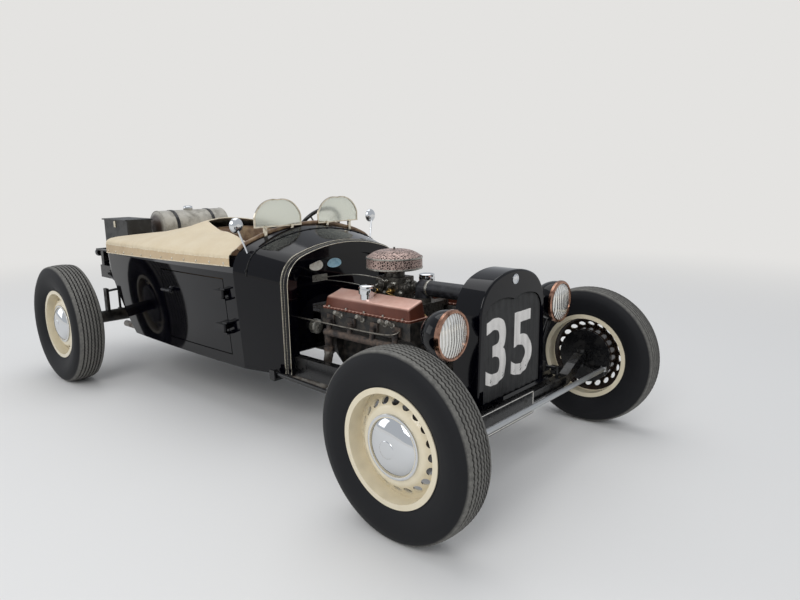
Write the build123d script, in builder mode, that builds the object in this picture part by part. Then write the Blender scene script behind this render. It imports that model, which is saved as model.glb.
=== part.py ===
from build123d import *
import os
from math import atan2, cos, hypot, radians, sin

os.makedirs("parts", exist_ok=True)

# A street rod roadster: X runs forward, Y to the car's left, Z up, all in millimetres.
# The origin is on the ground, halfway along the car, on its centre line.

# Driving dimensions of the running gear
wheelbase = 2900.0
rear_overhang = 500.0
front_tyre_r = 356.0
rear_tyre_r = 381.0
front_tyre_width = 156.0
rear_tyre_width = 182.0
front_half_track = 747.0
rear_half_track = 780.0
flange_r = 220.0
bead_r = 203.0
rim_half_width = 62.0
rim_thick = 4.0

overall_length = rear_overhang + wheelbase + front_tyre_r
rear_axle_x = rear_overhang - overall_length / 2
front_axle_x = rear_axle_x + wheelbase

# Running gaps: a turning pair, a moving panel, and a seat between fixed pieces
bearing_gap = 0.05
panel_gap = 6.0
seat_gap = 0.3

# Body stations, measured ahead of the rear axle
cowl_front_x = rear_axle_x + 1850.0
dash_x = rear_axle_x + 1545.0
door_front_x = rear_axle_x + 1450.0
door_rear_x = rear_axle_x + 800.0
tail_top_x = rear_axle_x - 40.0
tail_middle_x = rear_axle_x + 75.0
tail_foot_x = rear_axle_x + 300.0

# Body widths and heights
wall = 22.0
rail_z = 900.0
belt_z = 815.0
body_bottom_z = 300.0
dash_half_width = 510.0
cowl_half_width = 402.0
waist_half_width = 522.0
tail_half_width = 495.0
foot_inset = 36.0
rail_inset = 20.0
tail_corner_r = 100.0
dash_top_z = 1035.0
cowl_top_z = 950.0
cowl_spring_z = 760.0
shoulder_r = 150.0
door_bottom_z = 360.0
door_top_z = 780.0

# Floor and frame rails
floor_z = 400.0
floor_thick = 4.0
tunnel_half_width = 125.0
tunnel_top_z = 575.0
rail_outer_y = 365.0
rail_width = 45.0
rail_wall = 6.0
rail_bottom_z = 295.0
rail_top_z = 395.0
kick_bottom_z = 595.0
kick_top_z = 685.0
frame_front_x = rear_axle_x + 2800.0
cross_front_x = rear_axle_x + 2860.0
frame_rear_x = rear_axle_x - 420.0
kick_foot_x = rear_axle_x + 640.0
kick_head_x = rear_axle_x + 330.0

# Front end
kingpin_y = 655.0
kingpin_r = 11.0
spindle_r = 20.0
beam_z = 285.0
steer_arm = 125.0
tie_rod_z = 318.0
tie_rod_r = 12.0
drag_link_r = 11.0
drag_link_z = 254.0
pitman_x = rear_axle_x + 2620.0
pitman_y = 405.0
shell_front_x = rear_axle_x + 2900.0
shell_depth = 130.0
shell_half_width = 256.0
shell_foot_half_width = 272.0
shell_top_z = 892.0
shell_spring_z = 700.0
shell_foot_z = 327.0
shell_wall = 12.0

# Engine
crank_z = 440.0
engine_rear_x = rear_axle_x + 1965.0
engine_front_x = rear_axle_x + 2555.0
cover_y = 222.0
cover_z = 655.0

# Steering wheel
wheel_centre_x = rear_axle_x + 1332.0
wheel_centre_y = 250.0
wheel_centre_z = 980.0
steering_wheel_r = 155.0
rake = radians(35.0)
column_dir = Vector(cos(rake), 0, -sin(rake))
wheel_centre = Vector(wheel_centre_x, wheel_centre_y, wheel_centre_z)
column_r = 18.0
column_length = 668.0
column_hole_r = 26.0


def bar(start, end, radius, mode=Mode.ADD):
    """A round bar from one point to another."""
    start, end = Vector(*start), Vector(*end)
    with BuildSketch(Plane(origin=start, z_dir=end - start)) as section:
        Circle(radius)
    extrude(section.sketch, amount=(end - start).length, mode=mode)


def block(low, high, mode=Mode.ADD):
    """A square block between its lowest and highest corners."""
    size = [high[i] - low[i] for i in range(3)]
    middle = [(high[i] + low[i]) / 2 for i in range(3)]
    with Locations(Vector(*middle)):
        Box(*size, mode=mode)


def sided(side, inner, outer):
    """The lower and higher Y of a band between two distances from the centre line."""
    return min(side * inner, side * outer), max(side * inner, side * outer)


def across(x):
    """A plane square to the car's length at x, with its own axes along +Y and +Z."""
    return Plane(origin=(x, 0, 0), x_dir=(0, 1, 0), z_dir=(1, 0, 0))


def side_view(y):
    """A plane along the car at y, with its own axes along +X and +Z, facing -Y."""
    return Plane(origin=(0, y, 0), x_dir=(1, 0, 0), z_dir=(0, -1, 0))


def station(distance):
    """The X of a point a given distance ahead of the rear axle."""
    return rear_axle_x + distance


def is_arc(step):
    """Whether a step of a path is an arc: a point to pass through and an end point."""
    return isinstance(step[0], tuple)


def mirrored(path):
    """A path up one side of the centre line, carried on down its mirror image."""
    ends = [step[1] if is_arc(step) else step for step in path]
    whole = list(path)
    if ends[-1][0] != 0:
        whole.append((-ends[-1][0], ends[-1][1]))
    for i in range(len(path) - 1, 0, -1):
        end = (-ends[i - 1][0], ends[i - 1][1])
        if is_arc(path[i]):
            through = path[i][0]
            whole.append(((-through[0], through[1]), end))
        else:
            whole.append(end)
    return whole


def face(plane, path, inset=0.0):
    """A face inside a closed path of points and arcs, drawn in by inset."""
    here = path[0]
    with BuildSketch(plane) as section:
        with BuildLine():
            for step in path[1:]:
                if is_arc(step):
                    ThreePointArc(here, step[0], step[1])
                    here = step[1]
                elif step != here:
                    Line(here, step)
                    here = step
            if here != path[0]:
                Line(here, path[0])
        make_face()
        if inset:
            offset(amount=-inset, kind=Kind.INTERSECTION, mode=Mode.REPLACE)
    return section.sketch


def turned(start, direction, path, mode=Mode.ADD):
    """A turned solid: each point of the path is a distance along the axis and a radius."""
    start, direction = Vector(*start), Vector(*direction).normalized()
    upright = Vector(1, 0, 0) if abs(direction.Z) > 0.9 else Vector(0, 0, 1)
    plane = Plane(origin=start, x_dir=direction, z_dir=direction.cross(upright))
    revolve(face(plane, path), axis=Axis(start, direction), mode=mode)


def write(piece, label):
    """Label a finished piece and write its file."""
    piece.part.label = label
    export_step(piece.part, f"parts/{label}.step")


# Cowl: a shell from the dash forward to the firewall, with a return flange at its front edge
flange_width = 58.0
flange_thick = 4.0
firewall_x = cowl_front_x - 52.0
firewall_thick = 4.0
dash_thick = 14.0
dash_lower_z = 800.0
bell_slot_half_width = 205.0
bell_slot_z = 640.0


def cowl_section(x, inset, foot_z):
    """The cowl's outline at x: leaning sides, round shoulders and a flat crown, drawn in by inset."""
    share = (x - cowl_front_x) / (dash_x - cowl_front_x)
    half_width = cowl_half_width + (dash_half_width - cowl_half_width) * share
    spring_z = cowl_spring_z + (belt_z - cowl_spring_z) * share
    top_z = cowl_top_z + (dash_top_z - cowl_top_z) * share - inset
    foot = half_width - foot_inset * share - inset
    corner_r = shoulder_r - inset
    run = half_width - shoulder_r
    rise = top_z - spring_z
    crown_r = (run**2 + rise**2 - corner_r**2) / (2 * (rise - corner_r))
    crown_z = top_z - crown_r
    reach = hypot(run, spring_z - crown_z)
    join = (run / reach * crown_r, crown_z + (spring_z - crown_z) / reach * crown_r)
    middle = atan2(join[1] - spring_z, join[0] - run) / 2
    shoulder = (run + corner_r * cos(middle), spring_z + corner_r * sin(middle))
    side = (half_width - inset, spring_z)
    with BuildSketch(across(x)) as section:
        with BuildLine():
            Polyline((0, foot_z), (foot, foot_z), side)
            ThreePointArc(side, shoulder, join)
            ThreePointArc(join, (0, top_z), (-join[0], join[1]))
            ThreePointArc((-join[0], join[1]), (-shoulder[0], shoulder[1]), (-side[0], spring_z))
            Polyline((-side[0], spring_z), (-foot, foot_z), (0, foot_z))
        make_face()
    return section.sketch


def cowl_form(rear_x, front_x, inset, foot_z=body_bottom_z, mode=Mode.ADD):
    """The cowl's solid form between two stations, drawn in by inset."""
    loft([cowl_section(rear_x, inset, foot_z), cowl_section(front_x, inset, foot_z)], ruled=True, mode=mode)


with BuildPart() as cowl:
    cowl_form(dash_x, cowl_front_x, 0)
    cowl_form(dash_x - 1, cowl_front_x + 1, wall, body_bottom_z - 1, Mode.SUBTRACT)
    cowl_form(cowl_front_x - flange_thick, cowl_front_x, wall / 2, rail_top_z + panel_gap)
    cowl_form(cowl_front_x - flange_thick - 1, cowl_front_x + 1, flange_width, body_bottom_z - 1, Mode.SUBTRACT)
    cowl_form(dash_x, dash_x + dash_thick, wall / 2, dash_lower_z)
    bar(
        wheel_centre + column_dir * 200,
        wheel_centre + column_dir * (column_length / 2),
        column_hole_r,
        mode=Mode.SUBTRACT,
    )
write(cowl, "cowl")

with BuildPart() as firewall:
    cowl_form(firewall_x, firewall_x + firewall_thick, wall + seat_gap, floor_z + floor_thick + seat_gap)
    block(
        (firewall_x - 1, -bell_slot_half_width, 0),
        (firewall_x + firewall_thick + 1, bell_slot_half_width, bell_slot_z),
        mode=Mode.SUBTRACT,
    )
    bar(
        wheel_centre + column_dir * (column_length / 2),
        wheel_centre + column_dir * column_length,
        column_hole_r,
        mode=Mode.SUBTRACT,
    )
write(firewall, "firewall")

# Tub: sides and sloping tail round the open cockpit, cut for the doors and the frame rails
rail_slot = 8.0
hinge_offset = 12.0
hinge_pin_r = 4.0
hinge_barrel_r = 9.0
hinge_barrel = 44.0
hinge_heights = (520.0, 700.0)
hinge_x = door_front_x + 12.0
hinge_lug = 8.0
hinge_leaf = 70.0
drive_slot_half_width = 90.0
drive_slot_z = 520.0


def plan(inset, height, lean=0.0):
    """The tub's outline seen from above, drawn in by inset, with its round rear corners."""
    corner = tail_corner_r - inset
    side_end = (tail_top_x + tail_corner_r, tail_half_width - inset - lean)
    tail_end = (tail_top_x + inset, tail_half_width - tail_corner_r - lean)
    diagonal = corner * cos(radians(45))
    bend = (side_end[0] - diagonal, tail_end[1] + diagonal)
    front = dash_half_width - inset - lean
    waist = ((dash_x + side_end[0]) / 2, waist_half_width - inset - lean)
    with BuildSketch(Plane.XY.offset(height)) as outline:
        with BuildLine():
            Line((dash_x, -front), (dash_x, front))
            ThreePointArc((dash_x, front), waist, side_end)
            ThreePointArc(side_end, bend, tail_end)
            Line(tail_end, (tail_end[0], -tail_end[1]))
            ThreePointArc((tail_end[0], -tail_end[1]), (bend[0], -bend[1]), (side_end[0], -side_end[1]))
            ThreePointArc((side_end[0], -side_end[1]), (waist[0], -waist[1]), (dash_x, -front))
        make_face()
    return outline.sketch


def tail_profile(inset, low, high):
    """The tub seen from the side: everything ahead of the sloping tail."""
    rake = inset * 1.25
    front = dash_x + 1
    with BuildSketch(side_view(0)) as profile:
        with BuildLine():
            ThreePointArc(
                (tail_top_x + rake, rail_z), (tail_middle_x + rake, 610), (tail_foot_x + rake, body_bottom_z)
            )
            Polyline(
                (tail_foot_x + rake, body_bottom_z),
                (tail_foot_x + rake, low),
                (front, low),
                (front, high),
                (tail_top_x + rake, high),
                (tail_top_x + rake, rail_z),
            )
        make_face()
    return profile.sketch


def tub_form(inset, mode=Mode.ADD):
    """The tub's solid form, drawn in by inset: widest at the belt, leaning in above and below it."""
    extra = 10.0 if inset else 0.0
    fall = (belt_z - body_bottom_z + extra) / (belt_z - body_bottom_z)
    rise = (rail_z - belt_z + extra) / (rail_z - belt_z)
    with BuildPart(mode=Mode.PRIVATE) as form:
        loft([plan(inset, belt_z), plan(inset, rail_z + extra, rail_inset * rise)], ruled=True)
        loft([plan(inset, belt_z), plan(inset, body_bottom_z - extra, foot_inset * fall)], ruled=True)
        extrude(tail_profile(inset, body_bottom_z - 20, rail_z + 20), amount=700, both=True, mode=Mode.INTERSECT)
    return add(form.part, mode=mode)


def door_window(side, gap):
    """The block that cuts a doorway, drawn in by gap all round to leave the door."""
    low_y, high_y = sided(side, 300, 700)
    block(
        (door_rear_x + gap, low_y, door_bottom_z + gap),
        (door_front_x - gap, high_y, door_top_z - gap),
        mode=Mode.INTERSECT if gap else Mode.SUBTRACT,
    )


def half_width_at(x):
    """The tub's half width at the belt, on the circle through its dash, waist and rear corner."""
    x1, x2 = dash_x, tail_top_x + tail_corner_r
    middle = (x1 + x2) / 2
    half_run = (x1 - x2) / 2
    bulge = waist_half_width - (dash_half_width + tail_half_width) / 2
    slope = (dash_half_width - tail_half_width) / (x1 - x2)
    chord = (dash_half_width + tail_half_width) / 2 + slope * (x - middle)
    return chord + bulge * (1 - ((x - middle) / half_run) ** 2)


def skin_at(x, z):
    """The distance from the centre line to the tub's outer skin at x and z."""
    return half_width_at(x) - foot_inset * max(0.0, belt_z - z) / (belt_z - body_bottom_z)


hinge_y = half_width_at(hinge_x) + hinge_offset

with BuildPart() as tub:
    tub_form(0)
    tub_form(wall, Mode.SUBTRACT)
    door_window(1, 0)
    door_window(-1, 0)
    for s in (1, -1):
        low_y, high_y = sided(s, rail_outer_y - rail_width - rail_slot, rail_outer_y + rail_slot)
        slot_low = (tail_top_x - 50, low_y, kick_bottom_z - rail_slot)
        block(slot_low, (tail_foot_x, high_y, kick_top_z + rail_slot), mode=Mode.SUBTRACT)
    block(
        (tail_top_x, -drive_slot_half_width, body_bottom_z - 1),
        (tail_foot_x + 60, drive_slot_half_width, drive_slot_z),
        mode=Mode.SUBTRACT,
    )
    for s in (1, -1):
        for z in hinge_heights:
            for dz in (-1, 1):
                low = z + dz * (hinge_barrel / 2 + 6) - hinge_lug / 2
                low_y, high_y = sided(s, skin_at(hinge_x, z) - wall / 2, hinge_y + hinge_barrel_r)
                block((hinge_x - hinge_lug, low_y, low), (hinge_x + 30, high_y, low + hinge_lug))
            reach = hinge_barrel / 2 + hinge_lug
            bar((hinge_x, s * hinge_y, z - reach), (hinge_x, s * hinge_y, z + reach), hinge_pin_r)
write(tub, "tub")

handle_z = 660.0
handle_set_back = 90.0
handle_stand = 30.0
handle_half = 45.0
for side, name in ((-1, "door_right"), (1, "door_left")):
    with BuildPart() as door:
        tub_form(0)
        tub_form(wall, Mode.SUBTRACT)
        door_window(side, panel_gap)
        for z in hinge_heights:
            low, high = z - hinge_barrel / 2, z + hinge_barrel / 2
            bar((hinge_x, side * hinge_y, low), (hinge_x, side * hinge_y, high), hinge_barrel_r)
            low_y, high_y = sided(side, skin_at(door_front_x, z) - 6, hinge_y + hinge_barrel_r)
            leaf_low, leaf_high = low + 6, high - 6
            block((door_front_x - hinge_leaf, low_y, leaf_low), (door_front_x - panel_gap - 1, high_y, leaf_high))
            low_y, high_y = sided(side, hinge_y - 2, hinge_y + hinge_barrel_r)
            block((door_front_x - hinge_leaf, low_y, leaf_low), (hinge_x, high_y, leaf_high))
            bar(
                (hinge_x, side * hinge_y, low - 1),
                (hinge_x, side * hinge_y, high + 1),
                hinge_pin_r + bearing_gap,
                mode=Mode.SUBTRACT,
            )
        handle_x = door_rear_x + handle_set_back
        grip = skin_at(handle_x, handle_z)
        bar((handle_x, side * (grip - 10), handle_z), (handle_x, side * (grip + handle_stand + 4), handle_z), 8)
        grip_y = side * (grip + handle_stand)
        bar((handle_x - handle_half, grip_y, handle_z), (handle_x + handle_half, grip_y, handle_z), 7)
    write(door, name)


# Floor: a flat pan with a gearbox tunnel, rising over the rear kick of the frame
kick_floor_x = station(90)
floor_gap = 5.0

with BuildPart() as floor:
    with BuildSketch(Plane.XY.offset(floor_z)):
        front = cowl_half_width - wall - floor_gap
        middle = skin_at(dash_x, floor_z) - wall - floor_gap
        Polygon(
            (firewall_x + firewall_thick, front),
            (dash_x, middle),
            (kick_foot_x, middle),
            (kick_foot_x, -middle),
            (dash_x, -middle),
            (firewall_x + firewall_thick, -front),
            align=None,
        )
    extrude(amount=floor_thick)
    with BuildSketch(side_view(0)):
        rise = kick_top_z + floor_gap
        Polygon(
            (kick_foot_x + floor_thick, floor_z),
            (kick_head_x + floor_thick, rise),
            (kick_floor_x, rise),
            (kick_floor_x, rise + floor_thick),
            (kick_head_x + 2 * floor_thick, rise + floor_thick),
            (kick_foot_x + 2 * floor_thick, floor_z + floor_thick),
            align=None,
        )
    extrude(amount=rail_outer_y + 60, both=True)
    tunnel_rear_x = kick_foot_x - 150
    block(
        (tunnel_rear_x, -tunnel_half_width, floor_z),
        (firewall_x + firewall_thick, tunnel_half_width, tunnel_top_z),
    )
    block(
        (tunnel_rear_x - 1, -tunnel_half_width + floor_thick, floor_z - 1),
        (firewall_x + firewall_thick + 1, tunnel_half_width - floor_thick, tunnel_top_z - floor_thick),
        mode=Mode.SUBTRACT,
    )
write(floor, "floor")

# Frame: two channel rails kicked up over the rear axle, joined by cross members
cross_half = rail_outer_y - rail_width + 1
front_cross_x = station(2825)
middle_cross_x = station(1250)
front_cross_z = 350.3
middle_cross_top_z = rail_bottom_z + rail_wall
spring_cross_z = 600.0
rod_pivot_x = station(1780)
rod_pivot_z = 317.0
rod_y = 452.0
horn_hole_r = 6.5
horn_hole_back = 340.0
horn_hole_pitch = 60.0
horn_hole_z = 345.0
body_mount_places = (800, 1400, 1700)
body_mount_half = 25.0


def rail_profile(y, inset):
    """A side rail's outline on the plane at y, drawn in by inset."""
    path = [
        (frame_front_x, rail_top_z),
        (kick_foot_x, rail_top_z),
        (kick_head_x, kick_top_z),
        (frame_rear_x, kick_top_z),
        (frame_rear_x, kick_bottom_z),
        (kick_head_x - 40, kick_bottom_z),
        (kick_foot_x - 40, rail_bottom_z),
        (frame_front_x, rail_bottom_z),
    ]
    return face(side_view(y), path, inset)


with BuildPart() as frame:
    for s in (1, -1):
        inner_y, outer_y = s * (rail_outer_y - rail_width), s * rail_outer_y
        extrude(rail_profile(inner_y, 0), amount=-s * rail_width)
        extrude(rail_profile(inner_y, rail_wall), amount=-s * (rail_width - rail_wall), mode=Mode.SUBTRACT)
    for x, low, high, half, half_y in (
        (front_cross_x, front_cross_z, rail_top_z, 35, rail_outer_y),
        (middle_cross_x, rail_bottom_z, middle_cross_top_z, 30, cross_half),
        (rear_axle_x, spring_cross_z, spring_cross_z + 60, 30, cross_half),
        (frame_rear_x + 20, kick_bottom_z, kick_top_z, 20, cross_half),
    ):
        block((x - half, -half_y, low), (x + half, half_y, high))
    for s in (1, -1):
        low_y, high_y = sided(s, rail_outer_y - rail_width + 5, rail_outer_y - 5)
        for distance in body_mount_places:
            x = station(distance)
            block(
                (x - body_mount_half, low_y, rail_top_z - 1),
                (x + body_mount_half, high_y, floor_z - seat_gap),
            )
        low_y, high_y = sided(s, rail_outer_y - rail_width + 5, rod_y + 22)
        block((rod_pivot_x - 20, low_y, rail_bottom_z - 12), (rod_pivot_x + 20, high_y, rail_bottom_z))
        low_y, high_y = sided(s, rod_y + 14, rod_y + 22)
        block((rod_pivot_x - 20, low_y, rail_bottom_z - 12), (rod_pivot_x + 20, high_y, rod_pivot_z + 20))
        for back in (horn_hole_back, horn_hole_back + horn_hole_pitch):
            hole_x = frame_front_x - back
            bar(
                (hole_x, s * (rail_outer_y - 10), horn_hole_z),
                (hole_x, s * (rail_outer_y + 1), horn_hole_z),
                horn_hole_r,
                mode=Mode.SUBTRACT,
            )
write(frame, "frame")

# Seat: a box either side of the tunnel, a cushion on it and a back with an arched top
seat_front_x = station(1300)
seat_rear_x = station(750)
cushion_rear_x = station(880)
seat_side_gap = 30.0
seat_half_width = skin_at(seat_rear_x, floor_z) - wall - seat_side_gap
seat_board_z = 580.0
cushion_z = 700.0
board_thick = 4.0
back_half_width = seat_half_width - 10.0
back_shoulder_z = 895.0
back_top_z = 1000.0

with BuildPart() as seat_base:
    foot_z = floor_z + floor_thick + seat_gap
    block((seat_rear_x, -seat_half_width, foot_z), (seat_front_x, seat_half_width, seat_board_z))
    block(
        (seat_rear_x - 1, -tunnel_half_width - seat_gap, foot_z - 1),
        (seat_front_x + 1, tunnel_half_width + seat_gap, seat_board_z - board_thick),
        mode=Mode.SUBTRACT,
    )
    for s in (1, -1):
        low_y, high_y = sided(s, tunnel_half_width + seat_gap + board_thick, seat_half_width - board_thick)
        block(
            (seat_rear_x + board_thick, low_y, foot_z - 1),
            (seat_front_x - board_thick, high_y, seat_board_z - board_thick),
            mode=Mode.SUBTRACT,
        )
write(seat_base, "seat_base")

with BuildPart() as seat_cushions:
    block(
        (cushion_rear_x, -seat_half_width, seat_board_z + seat_gap),
        (seat_front_x, seat_half_width, cushion_z),
    )
    fillet(seat_cushions.edges().filter_by(Axis.Z), 40)
    fillet(seat_cushions.faces().sort_by(Axis.Z)[-1].edges(), 30)
    back_side = face(
        side_view(back_half_width),
        [
            (cushion_rear_x - 5, seat_board_z + seat_gap),
            (station(800), back_top_z),
            (station(715), back_top_z),
            (seat_rear_x, seat_board_z + seat_gap),
        ],
    )
    back_path = [
        (0, seat_board_z),
        (back_half_width, seat_board_z),
        (back_half_width, back_shoulder_z),
        ((back_half_width / 2, back_top_z - 25), (0, back_top_z)),
    ]
    back_front = face(across(station(700)), mirrored(back_path))
    with BuildPart(mode=Mode.PRIVATE) as back:
        extrude(back_side, amount=2 * seat_half_width)
        extrude(back_front, amount=200, mode=Mode.INTERSECT)
    add(back.part)
write(seat_cushions, "seat_cushions")

# Canvas cover: closed over the rear deck, then only the right side as far as the dash
cover_thick = 8.0
cover_clear = 1.0
hem_z = 798.0
cover_edge_z = 905.0
cover_edge_y = 540.0
cover_front_x = station(1530)
crowns = ((-60, 925), (300, 965), (750, 1040), (1545, 1058))


def crown_form(drop):
    """The solid under the cover's crown, lowered by drop."""
    sections = []
    for distance, height in crowns:
        path = [
            (0, hem_z - 20),
            (cover_edge_y, hem_z - 20),
            (cover_edge_y, cover_edge_z - drop),
            ((cover_edge_y / 2, height - (height - cover_edge_z) / 4 - drop), (0, height - drop)),
        ]
        sections.append(face(across(station(distance)), mirrored(path)))
    with BuildPart(mode=Mode.PRIVATE) as form:
        loft(sections, ruled=True)
    return form.part


with BuildPart() as tonneau_cover:
    for drop, inset, foot, mode in (
        (0, -cover_clear - cover_thick, hem_z, Mode.ADD),
        (cover_thick, -cover_clear, hem_z - 1, Mode.SUBTRACT),
    ):
        with BuildPart(mode=Mode.PRIVATE) as layer:
            extrude(plan(inset, foot), amount=400)
            add(crown_form(drop), mode=Mode.INTERSECT)
        add(layer.part, mode=mode)
    with BuildSketch(Plane.XY.offset(hem_z - 5)):
        Polygon(
            (station(800), 700),
            (station(800), -186),
            (cover_front_x, -410),
            (cover_front_x, -700),
            (station(1700), -700),
            (station(1700), 700),
            align=None,
        )
    extrude(amount=500, mode=Mode.SUBTRACT)
write(tonneau_cover, "tonneau_cover")

# Rear rack, carrying the fuel tank on two strapped saddles and the battery box
deck_z = 790.0
deck_thick = 10.0
deck_front_x = station(-62)
deck_rear_x = station(-470)
deck_half_width = 365.0
deck_bar = 30.0
rear_bar_rise = 2.0
deck_gaps = ((-335, -305), (-275, -145), (-115, 88), (112, 335))
pedestal_places = (-400, -100)
pedestal_depth = 40.0
tank_x = station(-200)
tank_z = 940.0
tank_r = 125.0
tank_low_y = -38.0
tank_high_y = 560.0
tank_dome = 34.0
strap_thick = 3.0
strap_width = 24.0
strap_places = (100.0, 400.0)
saddle_half = 90.0
tail_lamp_r = 26.0
filler_y = 250.0
filler_r = 34.0
lid_thick = 8.0
lid_overhang = 12.0
box_front_x = station(-62)
box_rear_x = deck_rear_x + deck_bar + seat_gap
box_low_y = -300.0
box_high_y = -120.0
box_top_z = 1020.0

with BuildPart() as rear_rack:
    block((deck_rear_x, -deck_half_width, deck_z), (deck_front_x, deck_half_width, deck_z + deck_thick))
    for low_y, high_y in deck_gaps:
        block(
            (deck_rear_x + deck_bar, low_y, deck_z - 1),
            (deck_front_x - deck_bar, high_y, deck_z + deck_thick + 1),
            mode=Mode.SUBTRACT,
        )
    block(
        (deck_rear_x, -deck_half_width, deck_z),
        (deck_rear_x + deck_bar, deck_half_width, deck_z + deck_thick + rear_bar_rise),
    )
    for s in (1, -1):
        low_y, high_y = sided(s, rail_outer_y - rail_width + 3, rail_outer_y - 3)
        for distance in pedestal_places:
            x = station(distance)
            block((x, low_y, kick_top_z + seat_gap), (x + pedestal_depth, high_y, deck_z + 2))
    for y in strap_places:
        low_y, high_y = y - strap_width / 2, y + strap_width / 2
        bar((tank_x, low_y, tank_z), (tank_x, high_y, tank_z), tank_r + seat_gap + strap_thick)
        block((tank_x - saddle_half, low_y, deck_z), (tank_x + saddle_half, high_y, tank_z - tank_r / 2))
        bar((tank_x, low_y - 1, tank_z), (tank_x, high_y + 1, tank_z), tank_r + seat_gap, mode=Mode.SUBTRACT)
    outer_strap_y = strap_places[-1]
    block(
        (tank_x - 60, deck_half_width - 35, deck_z),
        (tank_x + 60, outer_strap_y + 15, deck_z + deck_thick),
    )
    for s in (1, -1):
        tail_y, tail_z = s * (deck_half_width - 30), deck_z - 20
        bar((deck_rear_x + 2, tail_y, tail_z), (deck_rear_x - 30, tail_y, tail_z), tail_lamp_r)
        block((deck_rear_x, tail_y - 12, tail_z), (deck_rear_x + 6, tail_y + 12, deck_z + 2))
write(rear_rack, "rear_rack")

with BuildPart() as fuel_tank:
    length = tank_high_y - tank_low_y
    turned(
        (tank_x, tank_low_y, tank_z),
        (0, 1, 0),
        [
            (0, 0),
            (0, 12),
            ((8, 75), (tank_dome, tank_r)),
            (length - tank_dome, tank_r),
            ((length - 8, 75), (length, 12)),
            (length, 0),
        ],
    )
    bar((tank_x, filler_y, tank_z + tank_r - 5), (tank_x, filler_y, tank_z + tank_r + 22), filler_r)
write(fuel_tank, "fuel_tank")

with BuildPart() as battery_box:
    lid_z = box_top_z - lid_thick
    block((box_rear_x, box_low_y, deck_z + deck_thick + seat_gap), (box_front_x, box_high_y, lid_z))
    block(
        (box_rear_x - lid_overhang, box_low_y - lid_overhang, lid_z),
        (box_front_x, box_high_y + lid_overhang, box_top_z),
    )
    fillet(battery_box.edges().filter_by(Axis.Z), 8)
write(battery_box, "battery_box")

# Radiator shell, grille and core
opening_half_width = 231.0
opening_foot_z = 345.0
grille_depth = 12.0
grille_bars = 23
grille_lap = 7.0
bar_half = 2.0
cross_bar_heights = (440, 545, 650)


def shell_outline(inset):
    """The radiator shell seen from the front, drawn in by inset along its own slope."""
    return mirrored(
        [
            (0, shell_foot_z + inset),
            (shell_foot_half_width - inset, shell_foot_z + inset),
            (shell_half_width - inset, shell_spring_z),
            ((228 - 0.8 * inset, 800 - 0.6 * inset), (140 - 0.4 * inset, 868 - 0.9 * inset)),
            ((72 - 0.15 * inset, 886 - inset), (0, shell_top_z - inset)),
        ]
    )


def opening_outline(lap):
    """The opening for the grille seen from the front, grown by lap."""
    return mirrored(
        [
            (0, opening_foot_z - 0.7 * lap),
            (opening_half_width + lap, opening_foot_z - 0.7 * lap),
            (opening_half_width + lap, 690),
            ((206 + lap, 748 + lap), (150 + 0.4 * lap, 774 + lap)),
            ((75, 781 + lap), (0, 766 + lap)),
        ]
    )


shell_rear_x = shell_front_x - shell_depth

with BuildPart() as radiator_shell:
    extrude(face(across(shell_front_x), shell_outline(0)), amount=-shell_depth)
    fillet(radiator_shell.faces().sort_by(Axis.X)[-1].edges().filter_by(GeomType.CIRCLE), 10)
    inner = face(across(shell_rear_x - 1), shell_outline(shell_wall))
    extrude(inner, amount=shell_depth - shell_wall + 1, mode=Mode.SUBTRACT)
    extrude(face(across(shell_front_x + 1), opening_outline(0)), amount=-shell_depth, mode=Mode.SUBTRACT)
    block(
        (shell_rear_x - 1, -400, shell_foot_z - 1),
        (cross_front_x + 3, 400, rail_top_z + seat_gap),
        mode=Mode.SUBTRACT,
    )
write(radiator_shell, "radiator_shell")

with BuildPart() as grille:
    grille_x = shell_front_x - shell_wall - seat_gap
    bars_rear_x, bars_front_x = grille_x - 9, grille_x - 3
    bars_half_width = opening_half_width + grille_lap / 2
    extrude(face(across(grille_x), opening_outline(grille_lap)), amount=-grille_depth)
    extrude(face(across(grille_x + 1), opening_outline(0)), amount=-grille_depth - 2, mode=Mode.SUBTRACT)
    pitch = 2 * opening_half_width / (grille_bars + 1)
    with BuildPart(mode=Mode.PRIVATE) as bars:
        for i in range(grille_bars):
            y = -opening_half_width + (i + 1) * pitch
            block((bars_rear_x, y - bar_half, opening_foot_z - 4), (bars_front_x, y + bar_half, shell_top_z))
        for z in cross_bar_heights:
            block(
                (bars_rear_x, -bars_half_width, z - bar_half),
                (bars_front_x - 2, bars_half_width, z + bar_half),
            )
        extrude(
            face(across(grille_x + 1), opening_outline(grille_lap)),
            amount=-grille_depth - 2,
            mode=Mode.INTERSECT,
        )
    add(bars.part)
write(grille, "grille")

core_front_x = station(2862)
core_rear_x = station(2790)
core_half_width = 222.0
core_shoulder_z = 690.0
core_crown_half_width = 180.0
core_top_z = 800.0
outlet_y = -110.0
outlet_z = 430.0
hose_y = 0.0
hose_z = 760.0
hose_r = 38.0
hose_wall = 5.0

with BuildPart() as radiator_core:
    block(
        (core_rear_x, -core_half_width, rail_top_z + seat_gap),
        (core_front_x - 4, core_half_width, core_shoulder_z),
    )
    block(
        (core_rear_x, -core_crown_half_width, core_shoulder_z),
        (core_front_x - 4, core_crown_half_width, core_top_z),
    )
    bar((core_rear_x + 1, hose_y, hose_z), (core_rear_x - 60, hose_y, hose_z), hose_r - hose_wall - 0.2)
    bar((core_rear_x + 1, outlet_y, outlet_z), (core_rear_x - 50, outlet_y, outlet_z), 16)
write(radiator_core, "radiator_core")

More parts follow.
